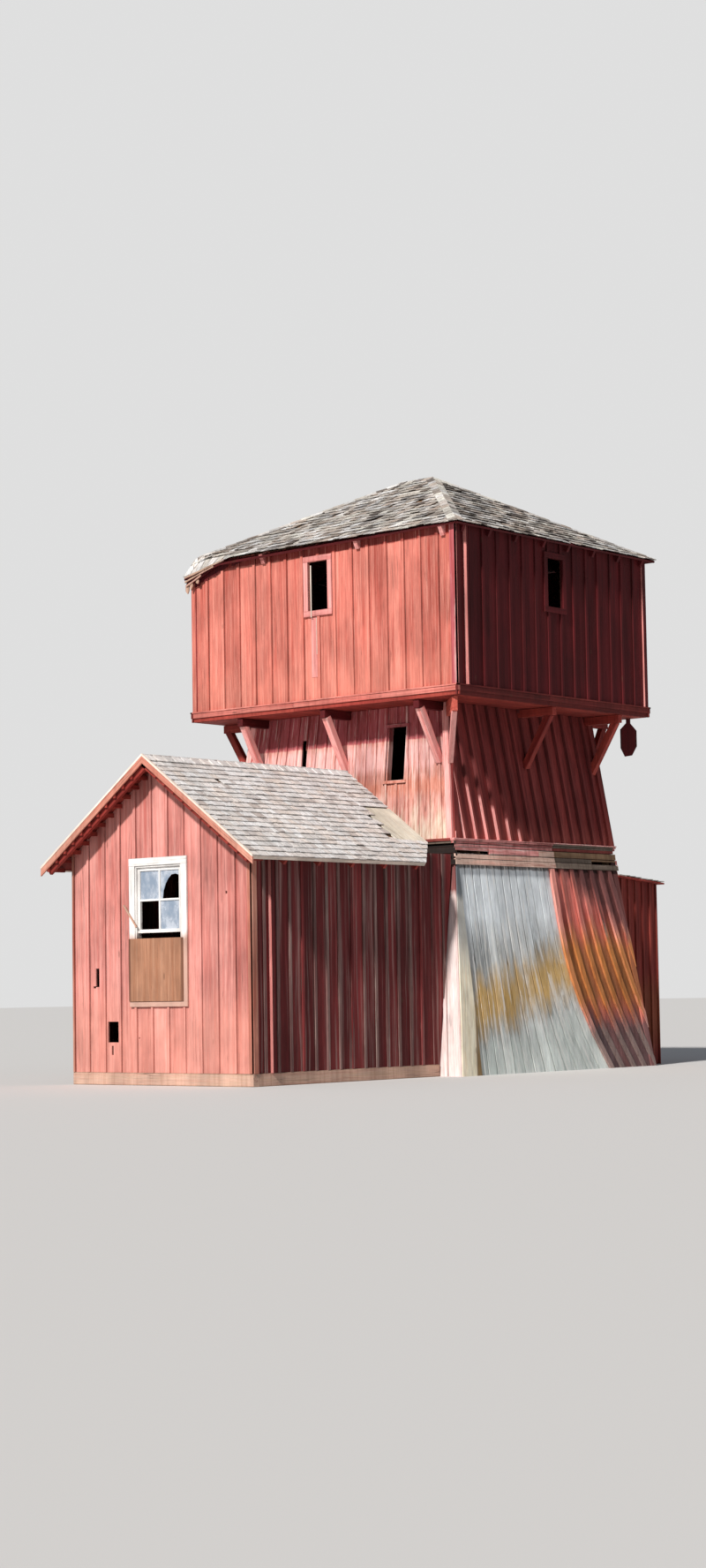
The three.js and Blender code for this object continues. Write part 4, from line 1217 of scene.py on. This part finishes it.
# %% Finishes of the base
# Some bands are painted shade: the dark band from 2.61 m up is the skirt's shadow, and the tilted dark bands of the red
# boards and ridges are the tank room's shadow on the upper back of the wall.
base_bare = finish("bare base boards", (158, 162, 163), (232, 234, 232), (222, 220, 212), wear=0.3, variety=0.6,
                   cracks=1.0, streak=0.45, rain=(0.5, 0.52, 0.54), depth=0.012,
                   bands=[(1.55, 9, 0.5, 0.5, (240, 247, 252), 0.8),
                          (0.36, 1.36, 0.38, 0.45, (212, 168, 88), 0.82, 0.25),
                          (-1, 0.5, 0.25, 0.5, (230, 240, 234), 0.65, 0.2),
                          (2.61, 9, 0.02, 0.03, (60, 52, 50), 0.8)],
                   peeled=((236, 234, 230), 0.6, 0.53, 0.60, 22, 1.1))
base_red = finish("stripped red base boards", (179, 86, 76), (238, 129, 113), (230, 180, 152), wear=0.15,
                  variety=0.9, streak=0.4,
                  bands=[(2.0, 9, 0.5, 0.4, (232, 154, 148), 0.6), (0.6, 2.0, 0.4, 0.3, (156, 106, 58), 0.8),
                         (-1, 0.85, 0.3, 0.3, (84, 80, 84), 0.85), (3.8, 99, 0.3, 0.3, (88, 54, 54), 0.9, -0.65),
                         (2.61, 9, 0.02, 0.03, (40, 26, 24), 0.8)])
base_ridge = finish("lit ridges of the base", (206, 112, 100), (232, 160, 148), (230, 200, 188), wear=0.25, edges=0.3,
                    variety=0.9, streak=0.35,
                    bands=[(0.55, 2.0, 0.4, 0.3, (200, 130, 66), 0.85), (-1, 0.75, 0.3, 0.3, (132, 124, 120), 0.85),
                           (3.8, 99, 0.3, 0.3, (112, 70, 70), 0.9, -0.65)])
print("with those of the base:", len(looks))

# %% [markdown]
# ## Boards of the base
# A few whitewashed boards end the front wall at its right. The right wall is nailed in two parts: bare
# boards without battens, then red ones under wide, sunlit ridges. Finished boards could be bent, but
# that would stretch their grain, so each joint is drawn as a line that leans and then flares.

# %% Base walls
BASE_TOP, FLARE_TOP, UNDER_SKIRT = 2.81, 1.95, 2.656
BENDS = (0.45, 0.85, 1.2, 1.55, 1.95)
BARE_END = 0.25
INNER_DOOR = (-0.02, 0.84, 0.15, 2.1)
BACK_DOOR = (-0.43, 0.43, 0.15, 2.1)
WHITEWASH_FROM = 1.87


def leaning_joint(head, reach, turn):
    """A joint that leans, then flares towards the back, the more so the further back its head is."""
    along, beyond = min(1, (head + reach) / (BARE_END + reach)), max(0, head - BARE_END)
    lean, flare = 0.07 * along + 0.17 * beyond, 0.17 * along * along - 0.07 * beyond
    return lambda z: turn * (head + lean * (BASE_TOP - z) + flare * max(0, FLARE_TOP - z) ** 2)


for n, side in enumerate(SIDES):
    pile = Pile(240 + n)
    at, low, high, outline = battered(side, BASE, 0.0, BASE_TOP)
    holes = {"front": [INNER_DOOR], "back": [BACK_DOOR]}.get(side, [])
    turn = 1 if side == "right" else -1
    if side in CROSSWISE:
        joints = fanned(low, high, 0, BASE_TOP, 0.11, pile.rng)
        for kept, slot in ((lambda r: WHITEWASH_FROM - r[0], 0),
                           (lambda r: r[0] - WHITEWASH_FROM, 2 if side == "front" else 0)):
            boarding(pile, at, clip(outline, kept), joints, 0.0, BASE_TOP, holes=holes, slots=(slot, slot))
    else:
        bare = spread(-high, BARE_END, 0.155, pile.rng)
        heads = bare + spread(BARE_END, high, 0.225, pile.rng)[1:]
        joints = [leaning_joint(head, high, turn) for head in heads[::turn]]
        if side == "right":
            boarding(pile, at, outline, joints[:len(bare)], 0.0, BASE_TOP, batten=0, bends=BENDS, gaps=(0.006, 0.013))
            boarding(pile, at, clip(outline, lambda r: UNDER_SKIRT - r[1]), joints[len(bare) - 1:], 0.0, BASE_TOP,
                     slots=(1, 4), batten=0.085, rise=0.03, bends=BENDS)
        else:
            boarding(pile, at, outline, joints, 0.0, BASE_TOP, bends=BENDS)
        first = joints[0 if side == "right" else -1]
        wedge = [(-turn * low, 0.0), (first(0) + turn * 0.012, 0.0), (turn * (0.03 - high), BASE_TOP),
                 (-turn * high, BASE_TOP)][::turn]
        pile.prism(at, wedge, -0.02, 0.012, lines([turn * (0.1 - low)], [turn * (0.1 - high)], 0, BASE_TOP)[0], 0.2,
                   2 if side == "right" else 0)
    for turn in {"front": (-1,), "back": (-1, 1)}.get(side, (turn,)):
        corner_board(pile, at, turn, low, high, 0.0, BASE_TOP, half=0.05, front=0.02,
                     slot=1 if side == "right" else 0)
    studs(pile, at, outline, 0.6, 0.0, BASE_TOP, -high + 0.1, high - 0.1, 3, holes=holes)
    finishes = [base_bare, base_red, wedge_paint] if side == "right" else [base_dark, base_dark, whitewash]
    pile.make(f"base_{side}_boards", finishes + [inside_wood, base_ridge], [f"base_{side}_wall"],
              "bare_boards" if side == "right" else "red_boards")
joisted_floor(250, BASE(0.15), 0.101, (0.15, 0.03, 0.15), (0.09, 0.06, 0.058), spacing=0.6).make(
    "base_floor_boards", [inside_wood], ["base_floor"], "floor_timber")

# %% [markdown]
# ## Annex walls
# The gable front has ten inch boards with narrow battens, a knot hole, a small square hole and a
# narrow slot. The holes could be painted dark, but one can look through them, so they are cut. The
# side walls have narrower boards; their red has turned maroon, some battens have worn grey, and grey
# streaks show where the paint has gone. All rest on a pale sill.

# %% Annex walls
ANNEX_FRONT, ANNEX_LEFT, ANNEX_RIGHT = -4.091, -1.071, 1.892
RIDGE_X, ANNEX_RIDGE_Z, ANNEX_EAVE_Z, ANNEX_HALF = 0.4105, 3.942, 2.665, 1.7645
ANNEX_PITCH = (ANNEX_RIDGE_Z - ANNEX_EAVE_Z) / ANNEX_HALF
ANNEX_BACK = -0.652
SILL_TOP, SILL = 0.151, (0.0, 0.1498, -0.099, 0.011)
UNDER_ROOF = 0.0815
INSIDE, LOW_FLOOR = 0.101, (0.15, 0.088)
HOLES = {
    "window": (0.015, 0.785, 0.996, 2.619), "square hole": (-0.487, -0.305, 0.51, 0.76),
    "slot": (-0.69, -0.63, 1.18, 1.405), "knot hole": (1.485, 1.511, 2.240, 2.272),
    "foot of the slot": (-0.735, -0.69, 1.165, 1.19), "crack": (-0.425, -0.395, 0.36, 0.47),
    "nail hole": (0.040, 0.056, 0.555, 0.572),
}


def annex_roof_z(x):
    return ANNEX_RIDGE_Z - ANNEX_PITCH * abs(x - RIDGE_X)


def annex_front_face(a, z, out):
    return Vector((a, ANNEX_FRONT - out, z))


def tower_face(z):
    """Where the annex's side walls meet the front of the base."""
    return MIDDLE_Y - BASE(z)[1] - TUCK


pile = Pile(260)
eave, crest, left_eave = (annex_roof_z(x) - UNDER_ROOF for x in (ANNEX_RIGHT, RIDGE_X, ANNEX_LEFT))
outline = [(ANNEX_LEFT, SILL_TOP), (ANNEX_RIGHT, SILL_TOP), (ANNEX_RIGHT, eave), (RIDGE_X, crest),
           (ANNEX_LEFT, left_eave)]
holes = list(HOLES.values())
places = spread(ANNEX_LEFT, ANNEX_RIGHT, 0.262, pile.rng, 0.03)
boarding(pile, annex_front_face, outline, lines(places, places, SILL_TOP, 4), SILL_TOP, 4.0, holes=holes,
         batten=0.034, rise=0.014)
studs(pile, annex_front_face, outline, 0.6, SILL_TOP, 4.0, ANNEX_LEFT + 0.1, ANNEX_RIGHT - 0.1, holes=holes)
for x0, x1 in ((ANNEX_LEFT, ANNEX_LEFT + 0.024), (ANNEX_RIGHT - 0.042, ANNEX_RIGHT)):
    upright(pile, annex_front_face, outline, x0, x1, SILL_TOP, 3, 0.02, 2, half=0.03)
pile.make("annex_front_boards", [annex_lit, inside_wood, barge_paint], ["annex_front_wall"], "annex_boards")

ANNEX_SIDES = (("right", ANNEX_RIGHT, 1), ("left", ANNEX_LEFT, -1))
for n, (side, edge, turn) in enumerate(ANNEX_SIDES):
    pile = Pile(262 + n)
    at = side_face(edge, turn)
    outline = [(ANNEX_FRONT + 0.002, SILL_TOP), (tower_face(SILL_TOP), SILL_TOP), (tower_face(2.63) - 0.03, 2.66),
               (tower_face(2.66) - 0.041, eave), (ANNEX_FRONT + 0.002, eave)]
    places = spread(ANNEX_FRONT, -0.3, 0.225, pile.rng, 0.05)
    if side == "left":
        outline, places = mirrored(outline), mirrored(places)
    boarding(pile, at, outline, lines(places, places, SILL_TOP, 3), SILL_TOP, 3.0, batten=0.042, rise=0.011,
             slots=(0, (0, 4)))
    studs(pile, at, outline, 0.6, SILL_TOP, 3.0, min(places) + 0.15, max(places) - 0.15)
    corner = places[0 if side == "right" else -1] + turn * 0.04
    upright(pile, at, outline, corner - 0.04, corner + 0.04, SILL_TOP, 3, 0.02, 3)
    # The thick batten near the front of the right side has pink sides as painted sunlight.
    if side == "right":
        upright(pile, at, outline, -3.79, -3.748, SILL_TOP, 3, 0.042, 0, sides=2)
    pile.make(f"annex_{side}_boards", [annex_deep, inside_wood, pink_bleach_and_painted_sun, barge_paint, worn_batten],
              [f"annex_{side}_wall"], "annex_boards")

pile = Pile(264)
plank(pile, annex_front_face, ANNEX_LEFT - 0.011, ANNEX_RIGHT + 0.011, *SILL)
for side, edge, turn in ANNEX_SIDES:
    ends = sorted((turn * (ANNEX_FRONT + 0.1), turn * ANNEX_BACK))
    plank(pile, side_face(edge, turn), *ends, *SILL)
pile.make("annex_sill_timbers", [sill_paint], ["annex_sill"], "pale_trim", bevel=0.006)
pile = Pile(265)
floor_boards(pile, ANNEX_LEFT + INSIDE, ANNEX_RIGHT - INSIDE, ANNEX_FRONT + INSIDE, ANNEX_BACK, *LOW_FLOOR)
pile.make("annex_floor_boards", [inside_wood], ["annex_floor"], "floor_timber")

# %% [markdown]
# ## Annex roof
# A plain gable of light grey shingles. Towards the tower the right slope ends early at a clipped
# corner, and beside it lies a bleached sheet where shingles have gone. It could be a lighter patch of
# shingles, but it shows no butts, so it is one thin piece. The overhang at the gable shows rafters
# and look-outs painted deep red.

# %% Annex roof
ROOF_FRONT, ROOF_BACK, CLIPPED_AT, LEFT_FROM = -4.3477, -0.597, -1.177, 0.333
BARE = (-1.20, -0.62, 0.43, 0.99)
RIDGE_CAP_STEP, RIDGE_CAP_LONG = 0.16, 0.22
for n, (side, edge, turn) in enumerate(ANNEX_SIDES):
    pile = Pile(270 + n)
    if side == "right":
        outline = [(ROOF_FRONT, 0), (CLIPPED_AT, 0), (-0.647, 0.395), (ROOF_BACK, ANNEX_HALF), (ROOF_FRONT, ANNEX_HALF)]
        u0, u1, eave_end = ROOF_FRONT, ROOF_BACK, CLIPPED_AT
        skip = lambda u, v: BARE[0] + 0.2 * (v - 0.7) + 0.05 * math.sin(v * 37) < u and BARE[2] < v < BARE[3]
    else:
        outline = [(LEFT_FROM, 0), (-ROOF_FRONT, 0), (-ROOF_FRONT, ANNEX_HALF), (-ROOF_BACK, ANNEX_HALF),
                   (LEFT_FROM, 0.754)]
        u0, u1, eave_end, skip = LEFT_FROM, -ROOF_FRONT, -ROOF_FRONT, None
    at = slope_face(Vector((RIDGE_X + turn * ANNEX_HALF, 0, 0)), Vector((0, turn, 0)), Vector((-turn, 0, 0)),
                    ANNEX_EAVE_Z, ANNEX_PITCH)
    shingling(pile, at, outline, ANNEX_PITCH, u0, u1, ANNEX_HALF, missing=0.006, exposure=0.108, top=-0.022, skip=skip)
    deck(pile, at, outline, u0, u1, ANNEX_HALF, (1, 4), back=-0.060, front=-0.036)
    rafters(pile, at, outline, spread(u0 + 0.05, u1 - 0.05, 0.6, pile.rng, 0), ANNEX_HALF * 0.99, back=-0.15,
            front=-0.0605)
    for i in range(int((u1 - u0) / RIDGE_CAP_STEP)):
        u = u0 + i * RIDGE_CAP_STEP
        cap = rectangle(u, min(u1, u + RIDGE_CAP_LONG), ANNEX_HALF - 0.11, ANNEX_HALF)
        crown = lambda a, z: -0.002 - CAP_SLANT * (a - u if turn > 0 else u + RIDGE_CAP_LONG - a)
        pile.prism(at, within(cap, outline), lambda a, z: crown(a, z) - 0.007, crown, half=NO_EDGE)
    if side == "right":
        sheet = [(BARE[0] - 0.03, BARE[2]), (BARE[1] + 0.02, BARE[2] - 0.03), (BARE[1] + 0.02, BARE[3] + 0.04),
                 (BARE[0] + 0.04, BARE[3] + 0.04)]
        pile.prism(at, within(sheet, outline), -0.034, lambda a, z: -0.022 + 0.01 * (a - BARE[0]), half=NO_EDGE, slot=2)
    plank(pile, at, u0, eave_end, 0.0, 0.022, -0.068, -0.024, 3)
    pile.make(f"annex_{side}_shingles", [annex_shingles, timber_deep, bare_sheet, cream_trim, inside_wood],
              [f"annex_{side}_roof"], "roof_shingles")

# %% [markdown]
# ## Bargeboards and look-outs
# Two sloping boards close the gable, each with a narrow cream strip along its top. A sloping board
# could be a turned box, but then its ends would stick out past the ridge, so its outline is drawn on
# the gable and its grain is turned to run along it. Short look-outs carry the overhang behind.

# %% Bargeboards and look-outs
def turned(at, shape, origin, direction):
    """The same shape on the same face, with its grain along a direction."""
    length = math.hypot(*direction)
    dx, dz = direction[0] / length, direction[1] / length
    x0, z0 = origin
    return (
        lambda a, z, out: at(x0 + dz * a + dx * z, z0 - dx * a + dz * z, out),
        [((x - x0) * dz - (z - z0) * dx, (x - x0) * dx + (z - z0) * dz) for x, z in shape],
    )


pile = Pile(275)
for turn in (-1, 1):
    foot = RIDGE_X + turn * (ANNEX_HALF - 0.0005)
    ends = sorted([(foot, ANNEX_EAVE_Z), (RIDGE_X, ANNEX_RIDGE_Z)])
    for low, high, front, slot in ((0.116, 0.030, 0.020, 0), (0.030, 0.002, 0.0245, 1)):
        shape = [(x, z - low) for x, z in ends] + [(x, z - high) for x, z in ends[::-1]]
        face, shape = turned(lambda x, z, out: Vector((x, ROOF_FRONT - out, z)), shape, (RIDGE_X, ANNEX_RIDGE_Z),
                             (RIDGE_X - foot, ANNEX_RIDGE_Z - ANNEX_EAVE_Z))
        pile.prism(face, shape, 0.0, front, sum(a for a, z in shape) / 4, (low - high) / 2, slot)
pile.make("annex_barge_planks", [barge_paint, cream_trim], ["annex_bargeboards"], "pale_trim")
pile = Pile(276)
for i in range(11):
    for turn in (-1, 1):
        x = RIDGE_X + turn * (0.2 + i * 0.145)
        z = annex_roof_z(x) - 0.125
        pile.beam(Vector((x, ANNEX_FRONT + 0.01, z)), Vector((x, ROOF_FRONT - 0.001, z)), UP, 0.04, 0.05)
pile.make("annex_look_outs", [timber_deep], slot="red_timber")

# %% [markdown]
# ## Annex window
# A tall opening whose sash has slid or been lost: four small panes fill its upper half, and a sheet
# of plywood is nailed over the lower. One pane is broken to an arc, one is gone, and the other two
# are dusty. The frame could be one solid, but the white paint wears at the arrises of each board, so
# every part is a board of its own.

# %% Window boards, sash and plywood
SASH_X, SASH_Z = (0.0353, 0.7647), (1.815, 2.5987)
MEET_X, MEET_Z = 0.4, 2.207
STILE, MUNTIN = 0.042, 0.024
at = annex_front_face


def bars(ends, meet):
    """The two outer bars of a sash and the one in its middle, as spans."""
    return ((ends[0], ends[0] + STILE), (ends[1] - STILE, ends[1]), (meet - MUNTIN / 2, meet + MUNTIN / 2))


pile = Pile(280)
for x0, x1, z0, z1, back, front in (
    (-0.08, 0.88, 2.619, 2.714, 0.0, 0.0248), (-0.08, 0.015, 0.996, 2.619, 0.0, 0.0235),
    (0.785, 0.88, 0.996, 2.619, 0.0, 0.0235), (-0.08, 0.88, 0.934, 0.996, 0.0, 0.0248),
    (0.0153, 0.035, 0.996, 2.6187, -0.075, 0.012), (0.765, 0.7847, 0.996, 2.6187, -0.075, 0.012),
    (0.0353, 0.7647, 2.599, 2.6187, -0.075, 0.012), (0.0353, 0.7647, 0.9963, 1.016, -0.075, 0.012),
):
    plank(pile, at, x0, x1, z0, z1, back, front)
pile.beam(at(-0.155, 2.157, 0.036), at(0.06, 1.886, 0.036), TO_FRONT, 0.022, 0.018, 1, waver=0.003)
pile.make("annex_window_boards", [white_paint, sill_paint], ["annex_window_casing"], "pale_trim", bevel=0.002)

pile = Pile(281)
for x0, x1 in bars(SASH_X, MEET_X):
    plank(pile, at, x0, x1, *SASH_Z, -0.044, -0.011)
for z0, z1 in bars(SASH_Z, MEET_Z):
    plank(pile, at, SASH_X[0] + 0.002, SASH_X[1] - 0.002, z0, z1, -0.043, -0.0125)
pile.make("annex_sash_bars", [white_paint], ["annex_window_sash"], "white_sash", bevel=0.002)
pile = Pile(282)
plank(pile, at, -0.079, 0.821, 0.999, 1.749, 0.0255, 0.037, level=False)
pile.make("plywood_sheet", [plywood_face], ["annex_window_panel"], "plywood", bevel=0.001)

# %% [markdown]
# ## Dusty glass
# Old panes in an empty building are grey with dust and still pick up the sky. The glass is a clear
# dielectric with a film of dust: noise drives its colour and roughness, and the share of light that
# passes stays a plain value on the shader.

# %% Glass
glass, w, shader = new_material("dusty glass")
dust = w.noise(w.node("TexCoord", out=3), (7, 7, 5), 5.0, 0.6)
w.join(w.blend(w.ramp(dust, 0.35, 0.65), colour(150, 166, 186), colour(206, 214, 226)), shader["Base Color"])
w.join(w.ramp(dust, 0.3, 0.7, 0.12, 0.4), shader["Roughness"])
shader["Transmission Weight"].default_value = 0.2
shader["Coat Weight"].default_value = 0.6
shader["Coat Roughness"].default_value = 0.05

GLASS_BACK, GLASS_FRONT, PUTTY = -0.029, -0.025, 0.0004
LEFT_PANE, RIGHT_PANE = (SASH_X[0] + STILE, MEET_X - MUNTIN / 2), (MEET_X + MUNTIN / 2, SASH_X[1] - STILE)
LOW_PANE, HIGH_PANE = (SASH_Z[0] + STILE, MEET_Z - MUNTIN / 2), (MEET_Z + MUNTIN / 2, SASH_Z[1] - STILE)
for name, (x0, x1), (z0, z1), node in (("upper_left_glass", LEFT_PANE, HIGH_PANE, "annex_upper_pane"),
                                       ("lower_right_glass", RIGHT_PANE, LOW_PANE, "annex_lower_pane")):
    pile = Pile(283)
    plank(pile, at, x0 + PUTTY, x1 - PUTTY, z0 + PUTTY, z1 - PUTTY, GLASS_BACK, GLASS_FRONT)
    pile.make(name, [glass], [node], "window_glass")
pile = Pile(284)
(x0, x1), (z0, z1) = RIGHT_PANE, HIGH_PANE
rim = [(0, 0), (0, 0.3), (0, 0.6), (0, 1), (0.3, 1), (0.6, 1), (1, 1)]
arc = [(0.10, 0.0), (0.15, 0.28), (0.26, 0.52), (0.40, 0.70), (0.58, 0.84), (0.80, 0.86), (1.0, 0.80)]
for corners in zip(rim, arc, arc[1:], rim[1:]):
    pile.prism(at, [(x0 + (x1 - x0) * a, z0 + (z1 - z0) * b) for a, b in corners], GLASS_BACK, GLASS_FRONT)
pile.make("broken_glass", [glass], slot="window_glass")

# %% [markdown]
# ## Rear bay
# Behind the base stands a low bay with upright walls and a nearly level roof. Only its right side and
# roof edge are seen from the front, in deep red, so the solid could stay plain elsewhere. But the
# tower is looked at from all sides, and its back gets the same boards and an open, cased doorway.

# %% Rear bay walls
BAY_X, BAY_BACK = 1.9, 4.283
BAY_DOOR = (-0.43, 0.43, -1, 2.1)


def bay_top(y):
    return 2.64 - 0.076 * (y - 3.238)


def base_back(z):
    """Where the bay's side walls meet the back of the base."""
    return MIDDLE_Y + BASE(z)[1] + TUCK


UNDER_BAY = 0.061
BAY_HEAD, BAY_START = bay_top(BAY_BACK) - UNDER_BAY, base_back(2.58)
for n, (side, turn) in enumerate((("right", 1), ("left", -1))):
    pile = Pile(300 + n)
    at = side_face(turn * BAY_X, turn)
    outline = [(base_back(0), 0.0), (BAY_BACK, 0.0), (BAY_BACK, BAY_HEAD), (BAY_START, bay_top(BAY_START) - UNDER_BAY)]
    places = spread(BAY_START, BAY_BACK, 0.17, pile.rng)
    if side == "left":
        outline, places = mirrored(outline), mirrored(places)
    boarding(pile, at, outline, lines(places, places, 0, 3), 0.0, 3.0, batten=0.04)
    studs(pile, at, outline, 0.5, 0, 3, min(places) + 0.1, max(places) - 0.1)
    pile.make(f"rear_{side}_boards", [base_dark, inside_wood], [f"rear_{side}_wall"], "red_boards")

pile = Pile(302)
at = lambda a, z, out: Vector((-a, BAY_BACK + out, z))
half = BAY_X - 0.1
outline = rectangle(-half, half, 0.0, BAY_HEAD)
places = spread(-half, half, 0.2, pile.rng)
boarding(pile, at, outline, lines(places, places, 0, 3), 0.0, 3.0, holes=[BAY_DOOR])
studs(pile, at, outline, 0.6, 0, 3, -half + 0.1, half - 0.1, holes=[BAY_DOOR])
pile.make("rear_back_boards", [base_dark, inside_wood], ["rear_back_wall"], "red_boards")
pile = Pile(303)
for x0, x1, z0, z1 in ((-0.52, -0.43, 0, 2.1), (0.43, 0.52, 0, 2.1), (-0.52, 0.52, 2.1, 2.19)):
    plank(pile, at, x0, x1, z0, z1, 0.0003, 0.0245)
pile.make("rear_door_boards", [cream_trim], ["rear_door_casing"], "pale_trim", bevel=0.002)

# %% [markdown]
# ## Rear bay roof
# The roof falls only a little: boards laid across, courses of shingles from the outer edge up, and one
# plain board against the tower. A slab would do from the front, but its edge shows the layers from
# the side, so they are laid one on the other as on the main roofs.

# %% Rear bay roof and floor
ROOF_X, ROOF_END = 1.989, 4.372
COURSE = 0.14
start = base_back(2.6) + 0.002


def bay_roof(a, b, out):
    return Vector((a, b, bay_top(b) + out))


pile = Pile(304)
for y in spread(start, ROOF_END, 0.16, pile.rng, 0.0)[:-1]:
    face, shape = sideways(bay_roof, rectangle(-ROOF_X, ROOF_X, y, min(ROOF_END, y + 0.158)))
    pile.prism(face, shape, -0.058, -0.036, -(y + 0.08), 0.08, 1)
rows = int((ROOF_END - start) / COURSE)
for row in range(rows):
    low, high = ROOF_END - COURSE * (row + 1), ROOF_END - COURSE * row
    top = lambda a, z: -0.012 - 0.06 * (high - z)
    x = -ROOF_X
    while x < ROOF_X:
        wide = min(pile.rng.uniform(0.08, 0.17), ROOF_X - x)
        pile.prism(bay_roof, rectangle(x + 0.001, x + wide - 0.001, low - 0.02, high),
                   lambda a, z: top(a, z) - 0.01, top, x + wide / 2, wide / 2)
        x += wide
last = ROOF_END - COURSE * (rows + 1)
face, shape = sideways(bay_roof, rectangle(-ROOF_X, ROOF_X, start, last + 0.2))
pile.prism(face, shape, -0.036, -0.020, -last, 0.2)
pile.make("rear_roof_boards", [tank_shingles, timber_deep], ["rear_roof"], "roof_shingles")
pile = Pile(305)
floor_boards(pile, -BAY_X + INSIDE, BAY_X - INSIDE, base_back(0.06), BAY_BACK - INSIDE, *LOW_FLOOR)
pile.make("rear_floor_boards", [inside_wood], ["rear_floor"], "floor_timber")

# %% [markdown]
# ## The loose board
# Under the right back corner of the tank room a broken board hangs by its split upper end. It could be
# one flat outline, but that outline isn't convex, so it is built up from four parts that share edges.

# %% Loose board
SWUNG = 0.7
axis, facing = Vector((math.cos(SWUNG), math.sin(SWUNG), 0)), Vector((math.sin(SWUNG), -math.cos(SWUNG), 0))
hang = lambda a, z, out: Vector((2.05, MIDDLE_Y + 2.0, z)) + axis * a + facing * out
pile = Pile(310)
for shape in (
    [(-0.03, 4.706), (0.03, 4.696), (0.03, 4.7655), (-0.03, 4.7655)],
    [(-0.1125, 4.616), (0.1125, 4.596), (0.03, 4.696), (-0.03, 4.706)],
    [(-0.1125, 4.36), (0.1125, 4.38), (0.1125, 4.596), (-0.1125, 4.616)],
    [(-0.05625, 4.24), (0.045, 4.255), (0.1125, 4.38), (-0.1125, 4.36)],
):
    pile.prism(hang, shape, -0.011, 0.011, tag=0.4)
pile.make("hanging_board", [tank_deep], ["loose_board"], "red_boards")

# %% [markdown]
# ## Studio
# A broad pale floor, one large soft sun from the front and slightly from the right, as the wear and
# the shading of the faces suggest, and an even pale surround that fills the shade. The surround is
# brighter to the camera than to the building, so the backdrop stays pale while the shade keeps depth.

# %% Floor, light and surround
FLOOR_HALF = 150
pale, _, shader = new_material("pale floor")
shader["Base Color"].default_value = (0.62, 0.61, 0.60, 1)
shader["Roughness"].default_value = 0.9
floor_mesh = bpy.data.meshes.new("studio floor")
floor_mesh.from_pydata([(x, y, 0) for x, y in rectangle(-FLOOR_HALF, FLOOR_HALF, -FLOOR_HALF, FLOOR_HALF)], [],
                       [(0, 1, 2, 3)])
floor_mesh.materials.append(pale)
studio_floor = placed("studio_floor", floor_mesh)

sun_data = bpy.data.lights.new("key", "SUN")
sun_data.energy = 4.3
sun_data.angle = math.radians(5)
sun_data.color = (1.0, 0.965, 0.92)
sun = placed("key", sun_data)
sun.rotation_mode = "QUATERNION"
sun.rotation_quaternion = Vector((0.15, -1.0, 0.81)).normalized().to_track_quat("Z", "Y")

world = bpy.data.worlds.new("surround")
bpy.context.scene.world = world
world.use_nodes = True
world.node_tree.nodes.clear()
w = Wiring(world.node_tree)
tone = w.blend(w.node("LightPath"), (0.20, 0.215, 0.24, 1), (0.74, 0.74, 0.74, 1))
w.join(w.node("Background", tone, 1.0), world.node_tree.nodes.new("ShaderNodeOutputWorld").inputs["Surface"])
bpy.context.scene.view_settings.view_transform = "Standard"
